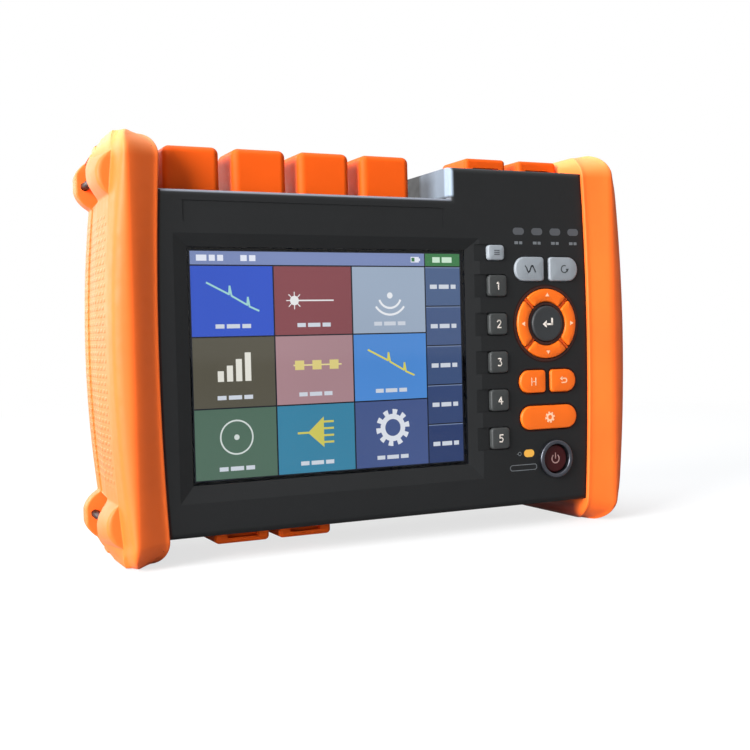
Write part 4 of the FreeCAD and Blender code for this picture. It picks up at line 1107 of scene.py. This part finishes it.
def outlines(kind: Glyph | int) -> list[Array]:
    """Outlines of a mark, or of a plain numeral from 1 to 5 drawn with one stroke.

    Args:
        kind: Which mark or numeral.

    Returns:
        Its outlines, in a square from -1 to 1.
    """
    wave = np.linspace(-0.95, 0.95, 24)
    strokes = (
        ((-0.35, 0.45), (0.05, 0.85), (0.05, -0.85)),
        ((-0.45, 0.5), (-0.2, 0.8), (0.25, 0.8), (0.45, 0.45), (0.35, 0.1), (-0.45, -0.8), (0.5, -0.8)),
        ((-0.45, 0.8), (0.4, 0.8), (0.0, 0.2), (0.35, 0.05), (0.45, -0.4), (0.15, -0.8), (-0.45, -0.7)),
        ((0.2, -0.85), (0.2, 0.85), (-0.5, -0.3), (0.55, -0.3)),
        ((0.45, 0.8), (-0.35, 0.8), (-0.42, 0.1), (0.1, 0.2), (0.45, -0.25), (0.15, -0.78), (-0.45, -0.7)),
    )
    marks: dict[Glyph | int, list[Array]] = {
        Glyph.TRIANGLE: polygon((-0.5, -0.8), (0.8, 0.0), (-0.5, 0.8)),
        Glyph.RETURN: band([(0.8, 0.75), (0.8, -0.1), (-0.3, -0.1)], 0.3)
        + polygon((-0.95, -0.1), (-0.2, -0.65), (-0.2, 0.45)),
        Glyph.POWER: ring_arc(0.72, 125, 415, 0.2) + band([(0.0, 0.05), (0.0, 0.95)], 0.2),
        Glyph.MENU: [bar for z in (-0.5, 0.0, 0.5) for bar in block(-0.8, 0.8, z - 0.13, z + 0.13)],
        Glyph.BACK: ring_arc(0.42, -90, 90, 0.24, 12, (0.25, 0.0)) + band([(0.25, 0.42), (-0.45, 0.42)], 0.24)
        + band([(0.25, -0.42), (-0.5, -0.42)], 0.24) + polygon((-0.95, 0.42), (-0.35, -0.02), (-0.35, 0.86)),
        Glyph.CURSORS: [bar for x in (-0.5, 0.5) for bar in band([(x, -0.75), (x, 0.75)], 0.22)]
        + band([(-0.25, 0.0), (0.25, 0.0)], 0.16),
        Glyph.GEAR: gear(0.9, 8, 0.36),
        Glyph.WAVE: band(np.stack([wave, 0.5 * np.sin(wave * 4.6)], axis=1), 0.2),
        Glyph.AUTO: ring_arc(0.62, 60, 360, 0.2) + polygon((0.3, 0.05), (0.98, 0.05), (0.64, -0.5)),
    }
    marks |= {number: band(stroke, 0.26) for number, stroke in enumerate(strokes, 1)}
    return marks[kind]


# Keys

KEY_FRONT = -31.3
KEY_FACE = -31.1
KEY_SHARP = 60.0
FLANGE = 0.8
RING_CENTRE = (68.2, 81.4)


def key_edge(radius: float, front: float) -> tuple[Array, Array]:
    """Insets and depths of a key's flange, straight wall and rounded edge, from the rear.

    Args:
        radius: Radius of the edge, a quarter circle.
        front: Depth at which the edge ends.

    Returns:
        The insets from the key's outline, and the depths.
    """
    turns = np.radians(np.linspace(0, 90, 8))
    insets = np.concatenate([[-FLANGE, -FLANGE, 0.0], radius * (1 - np.cos(turns))])
    return insets, np.concatenate([[-25.9, -26.7, -26.7], front + radius * (1 - np.sin(turns))])


@dataclass
class Key(ABC):
    """Key of the front face, on a body of its own.

    Attributes:
        node: CAD node and body.
        slot: Material slot.
    """

    node: str
    slot: str

    @abstractmethod
    def skin(self) -> tuple[Array, Rows]:
        """Vertices and faces of the key."""

    @abstractmethod
    def mark(self) -> Legends:
        """The key's printed mark."""

    def legends(self, y: float) -> Legends:
        """Empty legends for the key's mark."""
        return Legends(f"{self.node}_mark", self.node, y=y)

    def build(self, material: Material, ink: Material) -> None:
        """Builds the key in place of its CAD node, and its mark.

        Args:
            material: Finish of the key.
            ink: Finish of the mark.
        """
        sheet = Sheet(f"{self.node}_skin", self.node)
        sheet.add(*self.skin())
        sheet.build(material, [self.node], KEY_SHARP)
        self.mark().build(ink)


@dataclass
class FlatKey(Key):
    """Key with straight or rounded sides and a slightly domed face.

    Attributes:
        box: Left, right, lower and upper side.
        radii: Corner radius on the left and on the right.
        kind: Printed mark or numeral.
        size: Half the size of the mark.
        crown: Rise of the dome.
        edge: Radius of the rounded edge.
    """

    box: Box
    radii: Pair
    kind: Glyph | int
    size: float
    crown: float = 0.22
    edge: float = 0.7

    def skin(self) -> tuple[Array, Rows]:
        """Rings from the flange to the middle of the face, which rises as a shallow parabola.

        Returns:
            Vertices and faces.
        """
        x0, x1, z0, z1 = self.box
        half = min(x1 - x0, z1 - z0) / 2
        insets, depths = key_edge(self.edge, KEY_FACE)
        across = np.linspace(self.edge, half, 12)[1:]
        share = (across - self.edge) / (half - self.edge)
        insets = np.concatenate([insets, across])
        depths = np.concatenate([depths, KEY_FACE - self.crown * (1 - (1 - share) ** 2)])
        flange = rounded_rect((x0 - FLANGE, x1 + FLANGE, z0 - FLANGE, z1 + FLANGE),
                              (self.radii[0] + 0.5, self.radii[1] + 0.5))
        outlines = [flange, flange] + [rounded_rect(self.box, self.radii, inset) for inset in insets[2:]]
        return stacked(np.array([upright(outline, y) for outline, y in zip(outlines, depths)]))

    def mark(self) -> Legends:
        """Its mark, in the middle."""
        x0, x1, z0, z1 = self.box
        marks = self.legends(KEY_FACE - 0.04 - self.crown)
        return marks.put(outlines(self.kind), (x0 + x1) / 2, (z0 + z1) / 2, self.size)


@dataclass
class ArrowKey(Key):
    """Quarter of the arrow ring, with a rounded edge and a triangle.

    Attributes:
        turn: Direction from the ring's centre, in degrees anticlockwise from +X.
        inner: Inner radius.
        outer: Outer radius.
        gap: Distance of its sides from the diagonals.
        edge: Radius of the rounded edge.
        crown: Rise of the face past the edge.
        crown_width: Width over which it rises.
    """

    turn: float
    inner: float = 8.8
    outer: float = 13.9
    gap: float = 0.75
    edge: float = 0.75
    crown: float = 0.2
    crown_width: float = 1.3

    def ring(self, inset: float, y: float) -> Array:
        """Outline of the sector at a depth.

        Args:
            inset: How far the outline is shrunk.
            y: The depth.

        Returns:
            The points, (n, 3).
        """
        inner, outer, gap = self.inner + inset, self.outer - inset, self.gap + inset
        reach_out, reach_in = (45 - math.degrees(math.asin(gap / radius)) for radius in (outer, inner))
        turns = np.concatenate([np.linspace(-reach_out, reach_out, 12), np.linspace(reach_in, -reach_in, 12)])
        flat = np.array(RING_CENTRE) + np.repeat([outer, inner], 12)[:, None] * unit(turns + self.turn)
        radii = np.full(24, 0.3)
        radii[[0, 11, 12, 23]] = max(0.05, 1.0 - inset * 0.5)
        return upright(soften(flat[None], radii, 4)[0], y)

    def skin(self) -> tuple[Array, Rows]:
        """Rings from the rear to a shallow crown, which is closed by faces across the sector.

        Returns:
            Vertices and faces.
        """
        turns = np.radians(np.linspace(0, 90, 7))
        step = np.linspace(0, self.crown_width, 6)[1:]
        insets = np.concatenate([[0.0, 0.0], self.edge * (1 - np.cos(turns)), self.edge + step])
        depths = np.concatenate([[-25.95, -30.35], KEY_FACE + self.edge * (1 - np.sin(turns)),
                                 KEY_FACE - self.crown * (1 - (1 - step / self.crown_width) ** 2)])
        rings = np.array([self.ring(inset, y) for inset, y in zip(insets, depths)])
        vertices, faces = stacked(rings, False)
        count = rings.shape[1]
        outer = np.arange(count // 2)
        inner = count - 1 - outer
        cap = np.stack([outer[:-1], outer[1:], inner[1:], inner[:-1]], axis=1) + (len(rings) - 1) * count
        return vertices, faces + cap.tolist()

    def mark(self) -> Legends:
        """Its triangle, which points away from the ring's centre."""
        x, z = np.array(RING_CENTRE) + (self.inner + self.outer) / 2 * unit(self.turn)
        return self.legends(KEY_FACE - 0.24).put(outlines(Glyph.TRIANGLE), x, z, 1.15, self.turn)


@dataclass
class RoundKey(Key):
    """Round key with a rounded edge and a shallow dish.

    Attributes:
        centre: Its centre.
        radius: Its radius.
        front: Plane of its foremost line.
        kind: Printed mark.
        size: Half the size of the mark.
        edge: Radius of the rounded edge.
        dish: Depth of the dish.
    """

    centre: Pair
    radius: float
    front: float
    kind: Glyph
    size: float
    edge: float = 0.8
    dish: float = 0.12

    def skin(self) -> tuple[Array, Rows]:
        """Rings from the flange to the middle of the face, which sinks as a parabola.

        Returns:
            Vertices and faces.
        """
        insets, depths = key_edge(self.edge, self.front)
        share = np.linspace(1, 0.02, 10)[1:]
        sizes = np.concatenate([self.radius - insets, (self.radius - self.edge) * share])
        depths = np.concatenate([depths, self.front + self.dish * (1 - share ** 2)])
        around = unit(np.arange(64) * 360 / 64)
        return stacked(np.array([upright(np.array(self.centre) + size * around, y)
                                 for size, y in zip(sizes, depths)]))

    def mark(self) -> Legends:
        """Its mark, in the middle."""
        return self.legends(self.front - 0.02).put(outlines(self.kind), *self.centre, self.size)


@dataclass
class Keypad:
    """All keys of the front face, at the places of the CAD, and the small marks between them.

    Attributes:
        frame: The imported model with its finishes.
        inks: Inks by name.
    """

    frame: Frame
    inks: dict[str, Material]

    def keys(self) -> list[Key]:
        """Every key.

        Returns:
            The keys, from the upper left.
        """
        soft = [FlatKey(f"soft_key_{number}", "key_soft", (41.4, 49.6, z - 4.2, z + 4.2), (1.4, 1.4),
                        number, 1.75, 0.16)
                for number, z in enumerate(96.5 - 14.95 * np.arange(5), 1)]
        wide = (98.3, 107.9)
        arrows = [ArrowKey(f"arrow_key_{way}", "key_orange", 90 * quarter)
                  for quarter, way in enumerate(("right", "up", "left", "down"))]
        return [
            FlatKey("menu_key", "key_grey", (41.4, 48.8, 106.5, 112.4), (1.4, 1.4), Glyph.MENU, 1.5),
            *soft,
            FlatKey("mode_key_left", "key_grey", (53.6, 67.2, *wide), (4.6, 1.4), Glyph.WAVE, 2.5, 0.3),
            FlatKey("mode_key_right", "key_grey", (69.7, 83.3, *wide), (1.4, 4.6), Glyph.AUTO, 2.3, 0.3),
            FlatKey("marker_key", "key_orange", (55.0, 67.0, 53.9, 62.9), (4.3, 1.4), Glyph.CURSORS, 1.9),
            FlatKey("escape_key", "key_orange", (69.4, 81.4, 53.9, 62.9), (1.4, 4.3), Glyph.BACK, 2.0),
            FlatKey("setup_key", "key_orange", (55.2, 81.6, 39.2, 48.6), (4.6, 4.6), Glyph.GEAR, 2.5),
            *arrows,
            RoundKey("enter_key", "key_dark", RING_CENTRE, 7.2, KEY_FRONT, Glyph.RETURN, 2.6),
            RoundKey("power_key", "key_red", (71.2, 27.0), 5.6, -30.5, Glyph.POWER, 2.4),
        ]

    def build(self) -> None:
        """Builds every key, and dark rims of painted shade in the gaps round the orange ones and the arrow
        ring.
        """
        # Painted shade: dark bands stand in for the shadow in the gaps round the orange keys and the arrow
        # ring.
        rims = Legends("key_gap_shade", "instrument")
        for key in self.keys():
            key.build(self.frame.finish_for(key.slot), self.inks[KEY_INKS[key.slot]])
            if isinstance(key, FlatKey) and key.slot == "key_orange":
                rims.put(frame_band(*(rounded_rect(key.box, key.radii, inset) for inset in (-0.28, -0.8))))
        rims.put(ring_arc(15.35, 0, 360, 0.46, 64), *RING_CENTRE).build(self.inks["gap_shade"])

    def label(self) -> None:
        """Builds the marks on the housing: two ticks under each indicator, and an outline by the lamp."""
        marks = Legends("face_marks", "instrument", y=-30.02)
        for x in 56.0 + 8.66 * np.arange(4):
            marks.put(block(x - 1.9, x - 0.2, 112.9, 114.0) + block(x + 0.3, x + 1.7, 112.9, 114.0))
        outline = (rounded_rect((50.0, 62.6, 23.2, 25.6), (1.1, 1.1), inset) for inset in (0.25, 0.0))
        marks.put(frame_band(*outline))
        marks.put(ring_arc(0.75, 0, 360, 0.26, 20) + block(-1.5, -0.75, -0.13, 0.13), 54.6, 29.9, 0.9)
        marks.build(self.inks["dim_ink"])


# Screen picture

@dataclass
class ScreenPicture:
    """Lit menu of nine tiles, a header and five labels, as flat layers in front of the display.

    Attributes:
        box: Left, right, lower and upper side.
        y: Plane of the lowest layer.
        lift: Distance between layers.
        sheet: Mesh so far.
        shades: Colours of its corners so far.
    """

    box: Box = (-77.0, 31.2, 28.3, 109.3)
    y: float = -26.84
    lift: float = 0.012
    sheet: Sheet = field(default_factory=lambda: Sheet("screen_picture", "instrument"))
    shades: list[Array] = field(default_factory=list)

    def place(self, points: Array) -> Array:
        """Millimetres in X and Z of points given across and down the picture, from 0 to 1."""
        x0, x1, z0, z1 = self.box
        return np.stack([x0 + points[:, 0] * (x1 - x0), z1 - points[:, 1] * (z1 - z0)], axis=1)

    def draw(self, shapes: Iterable[Array], code: str, layer: int) -> None:
        """Draws outlines in one colour, each turned to face the front.

        Args:
            shapes: Outlines in millimetres.
            code: Display colour.
            layer: Layer number, higher ones in front.
        """
        for shape in shapes:
            turn = np.sum(shape[:, 0] * np.roll(shape[:, 1], -1) - np.roll(shape[:, 0], -1) * shape[:, 1])
            order = list(range(len(shape)))
            self.sheet.add(upright(shape, self.y - self.lift * layer), [order if turn > 0 else order[::-1]])
            self.shades.append(np.tile([*tint(code), 1.0], (len(shape), 1)))

    def rect(self, u0: float, u1: float, v0: float, v1: float, code: str, layer: int) -> None:
        """Draws a rectangle given across and down the picture."""
        self.draw([self.place(np.array([[u0, v1], [u1, v1], [u1, v0], [u0, v0]]))], code, layer)

    def mark(self, shapes: Iterable[Array], u: float, v: float, size: float, code: str,
             layer: int = 3) -> None:
        """Draws outlines from a square of side 2 at a place, their half size in millimetres."""
        centre = self.place(np.array([[u, v]]))[0]
        self.draw([centre + shape * size for shape in shapes], code, layer)

    def words(self, u: float, v: float, widths: Sequence[float], code: str, high: float = 0.018) -> None:
        """Draws short bars in a row, which stand for a label.

        Args:
            u: Centre of the row, across.
            v: Centre of the row, down.
            widths: Width of each bar.
            code: Display colour.
            high: Height of the bars.
        """
        gap = 0.008
        left = u - (sum(widths) + gap * (len(widths) - 1)) / 2
        for width in widths:
            self.rect(left, left + width, v - high / 2, v + high / 2, code, 3)
            left += width + gap

    def tiles(self) -> None:
        """Draws the nine tiles with their labels."""
        codes = ("3358CC", "8B4A50", "A3B3C8", "5A5648", "B08A90", "5090DC", "53705F", "3A87A8", "475A8E")
        for number, code in enumerate(codes):
            u0, v0 = 0.004 + number % 3 * 0.2845, 0.068 + number // 3 * 0.311
            self.rect(u0, u0 + 0.2795, v0, v0 + 0.305, code, 2)
            self.words(u0 + 0.14, v0 + 0.262, (0.03, 0.045, 0.03), "D8DEE8")

    def icons(self) -> None:
        """Draws the tiles' icons: traces, a beam, waves, bars, a chain, a ring, a fan of lines and a gear."""
        u0, u1, u2 = 0.145, 0.43, 0.715
        trace = band([(-1.0, 0.55), (-0.15, 0.12), (-0.12, 0.42), (-0.05, 0.06), (0.55, -0.28), (0.58, 0.0),
                      (0.64, -0.34), (1.0, -0.5)], 0.07)
        source, arms = np.array([-0.9, 0.0]), 0.36 * unit(np.arange(0, 180, 45))
        rays = [quad for arm in arms for quad in band([source - arm, source + arm], 0.04)]
        beam = band([(-0.8, 0.0), (0.9, 0.0)], 0.06) + disc(0.2, (-0.9, 0.0)) + rays
        waves = ring_arc(0.52, 200, 340, 0.09) + ring_arc(0.8, 215, 325, 0.09) + disc(0.13)
        bars = [bar for number, top in enumerate((-0.1, 0.15, 0.45, 0.75))
                for bar in block(-0.85 + 0.45 * number, -0.55 + 0.45 * number, -0.6, top)]
        links = [link for x in (-0.95, -0.15, 0.65) for link in block(x, x + 0.42, -0.2, 0.2)]
        lines = [quad for z in (-0.5, -0.17, 0.17, 0.5) for quad in band([(0.35, z), (0.85, z)], 0.1)]
        fan = polygon((-0.5, 0.0), (0.35, -0.75), (0.35, 0.75)) + lines
        fan += band([(-1.0, 0.0), (-0.5, 0.0)], 0.1)
        self.mark(trace, u0, 0.205, 9.5, "A6DCD8")
        self.mark(trace, u2, 0.515, 9.5, "E6DC5A")
        self.mark(beam, u1, 0.22, 8.5, "F0F0F0")
        self.mark(waves, u2, 0.2, 9.0, "F4F6FA")
        self.mark(bars, u0, 0.515, 7.5, "EDEBE0")
        self.mark(band([(-1.0, 0.0), (1.2, 0.0)], 0.06), u1, 0.51, 8.5, "F2E4A0")
        self.mark(links, u1, 0.51, 8.5, "E8D888", 4)
        self.mark(ring_arc(0.85, 0, 360, 0.08, 40) + disc(0.14), u0, 0.815, 7.0, "DCE4E0")
        self.mark(fan, u1, 0.815, 7.5, "D8D060")
        self.mark(gear(1.0, 10, 0.46), u2, 0.815, 7.0, "E8ECF4")

    def header(self) -> None:
        """Draws the header with its labels and the battery sign."""
        text, green = "EEF2FF", "3F7F4C"
        self.rect(0.004, 0.853, 0.004, 0.062, "7F8FBE", 2)
        self.rect(0.857, 0.996, 0.004, 0.062, green, 2)
        self.words(0.07, 0.033, (0.035, 0.02, 0.02), text, 0.026)
        self.words(0.2, 0.033, (0.022, 0.022), text, 0.026)
        self.words(0.925, 0.033, (0.03, 0.04), "D4F0D8", 0.026)
        self.rect(0.8, 0.832, 0.02, 0.046, text, 3)
        self.rect(0.832, 0.837, 0.027, 0.039, text, 3)
        self.rect(0.803, 0.815, 0.024, 0.042, green, 4)

    def build(self) -> None:
        """Draws the whole picture and makes the piece."""
        self.rect(0.0, 1.0, 0.0, 1.0, "10141E", 1)
        self.header()
        self.tiles()
        self.icons()
        for number, code in enumerate(("4F658C", "475C86", "3F547E", "364976", "2C3E6C")):
            v0 = 0.068 + number * 0.1866
            self.rect(0.857, 0.996, v0, v0 + 0.181, code, 2)
            self.rect(0.857, 0.996, v0, v0 + 0.004, "7E90B4", 3)
            self.words(0.926, v0 + 0.092, (0.028, 0.04, 0.02), "D8DEE8", 0.02)
        piece = self.sheet.build(self.lit_material())
        shade = piece.data.color_attributes.new("Shade", "FLOAT_COLOR", "CORNER")
        shade.data.foreach_set("color", np.concatenate(self.shades).astype(np.float32).ravel())

    def lit_material(self) -> Material:
        """Backlit liquid crystal: the drawn colours with a faint pixel grid and slightly uneven light.

        Returns:
            The material.
        """
        nodes = Nodes("lit_screen")
        shade = nodes.add("Attribute", attribute_name="Shade").outputs["Color"]
        grid = nodes.product(nodes.math("SINE", nodes.product(nodes.axes()[0], 25000.0)), 0.008)
        level = nodes.math("ADD", nodes.wander(18.0, 1.0, 0.92, 1.0), grid)
        lit = nodes.add("VectorMath", {0: shade, 3: level}, operation="SCALE").outputs[0]
        nodes.set(Base_Color=(0.01, 0.01, 0.012), Roughness=nodes.wander(60.0, 2.0, 0.4, 0.5))
        nodes.set(Emission_Color=lit, Emission_Strength=0.95, Specular_IOR_Level=0.1)
        nodes.set(Normal=nodes.bump(nodes.noise(90.0), 0.000004))
        return nodes.material


# The tester's finishes

def ink(name: str, code: str) -> Moulding:
    """Printing ink: a nearly even coat with a very fine relief."""
    return Moulding(name, code, grain=5000.0, depth=0.000003, mottle=0.03)


FINISHES: dict[str, Finish] = {finish.name: finish for finish in (
    GripRubber("bumper_rubber", "F26614"),
    Moulding("cap_rubber", "E4560E", rough=0.6, mottle=0.04, gloss=0.15),
    Shell("front_shell", "191A1B", rough=0.52, grain=3000.0, depth=0.000025, gloss=0.22),
    Shell("rear_shell", "1B1C1E", rough=0.55, grain=2200.0, depth=0.00004, gloss=0.28),
    Moulding("panel_black", "17181A", rough=0.55),
    Moulding("circuit_board", "1F5A35", rough=0.4),
    Moulding("key_mat", "7A2A12", rough=0.6),
    RingWeb("web_orange", "D8520E", rough=0.55, gloss=0.35),
    Metal("ring_grey", "55575E", rough=0.4, marks=900.0),
    Moulding("lens_grey", "4E5054", rough=0.4, gloss=0.3),
    LitLens("lens_amber", "D09A38", rough=0.35, glow=0.3),
    Metal("module_case", "9A9CA0", rough=0.4),
    Moulding("battery_wrap", "2B3142", rough=0.35),
    Metal("screw_steel", "9C9EA2"),
    Metal("pin_steel", "0C0705", rough=0.5),
    Metal("jack_metal", "A8AAAE"),
    Metal("adapter_metal", "B6B4AC", rough=0.28),
    Moulding("key_grey", "8C9298", mottle=0.03, gloss=0.35),
    Moulding("key_soft", "343636", gloss=0.35),
    Moulding("key_dark", "2A2C2E", gloss=0.35),
    Moulding("key_red", "360C0E", rough=0.45, gloss=0.2),
    Moulding("key_orange", "EE6A12", rough=0.45, mottle=0.04, gloss=0.35),
    WindowGlass("window_glass"),
    Moulding("display", "30435F", rough=0.3),
)}

INKS: dict[str, Finish] = {finish.name: finish for finish in (
    ink("pale_ink", "F0E6DC"),
    ink("dark_ink", "3A3E42"),
    ink("dim_ink", "6A6E72"),
    ink("faint_ink", "FBC8A4"),
    ink("rose_ink", "A88480"),
    # Dark red-brown finish for painted shade, in the gaps beside the bumper lips and round the orange keys.
    Moulding("gap_shade", "240A05", rough=0.7, grain=3200.0, depth=0.00001, mottle=0.1, gloss=0.2),
)}

KEY_INKS = {
    "key_soft": "pale_ink", "key_dark": "pale_ink", "key_grey": "dark_ink", "key_orange": "faint_ink",
    "key_red": "rose_ink",
}


@dataclass
class Frame:
    """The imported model, dressed by material slot.

    Attributes:
        nodes: CAD objects by name.
        slots: Material slot of each node.
        made: Materials made so far, by slot.
    """

    nodes: dict[str, bpy.types.Object]
    slots: dict[str, str]
    made: dict[str, Material] = field(default_factory=dict)

    def finish_for(self, slot: str) -> Material:
        """Material of a slot, made once."""
        if slot not in self.made:
            self.made[slot] = FINISHES[slot].build()
        return self.made[slot]

    def dress(self) -> None:
        """Gives every CAD node the finish of its slot."""
        for name, node in self.nodes.items():
            for place in node.material_slots:
                place.material = self.finish_for(self.slots[name])
            LOG.info("dressed %s", name)


def main() -> None:
    """Builds the whole scene."""
    logging.basicConfig(level=logging.INFO, format="%(message)s")
    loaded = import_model()
    slots = {part["node"]: part["material_slot"] for part in loaded["record"]["subparts"]}
    Studio().build()
    frame = Frame(loaded["nodes"], slots)
    frame.dress()
    inks = {name: finish.build() for name, finish in INKS.items()}
    bumpers = (
        BumperSkin(-1, 129.5, lip_x=89.2, nose_corner=(7.0, 3.0), lip_corner=(9.0, 6.0), crest_x=99.8,
                   inner_x=96.4, front_y=(-30.8, -34.1)),
        BumperSkin(1, 141.5, corner=(12.0, 4.0), nose_corner=(19.0, 8.0)),
    )
    for bumper in bumpers:
        bumper.build(frame.finish_for("bumper_rubber"))
    # Dark strips of painted shade in the gaps beside the lips.
    for bumper in bumpers:
        bumper.gap_shade(inks["gap_shade"])
    keypad = Keypad(frame, inks)
    keypad.build()
    keypad.label()
    ScreenPicture().build()


if __name__ == "__main__":
    main()
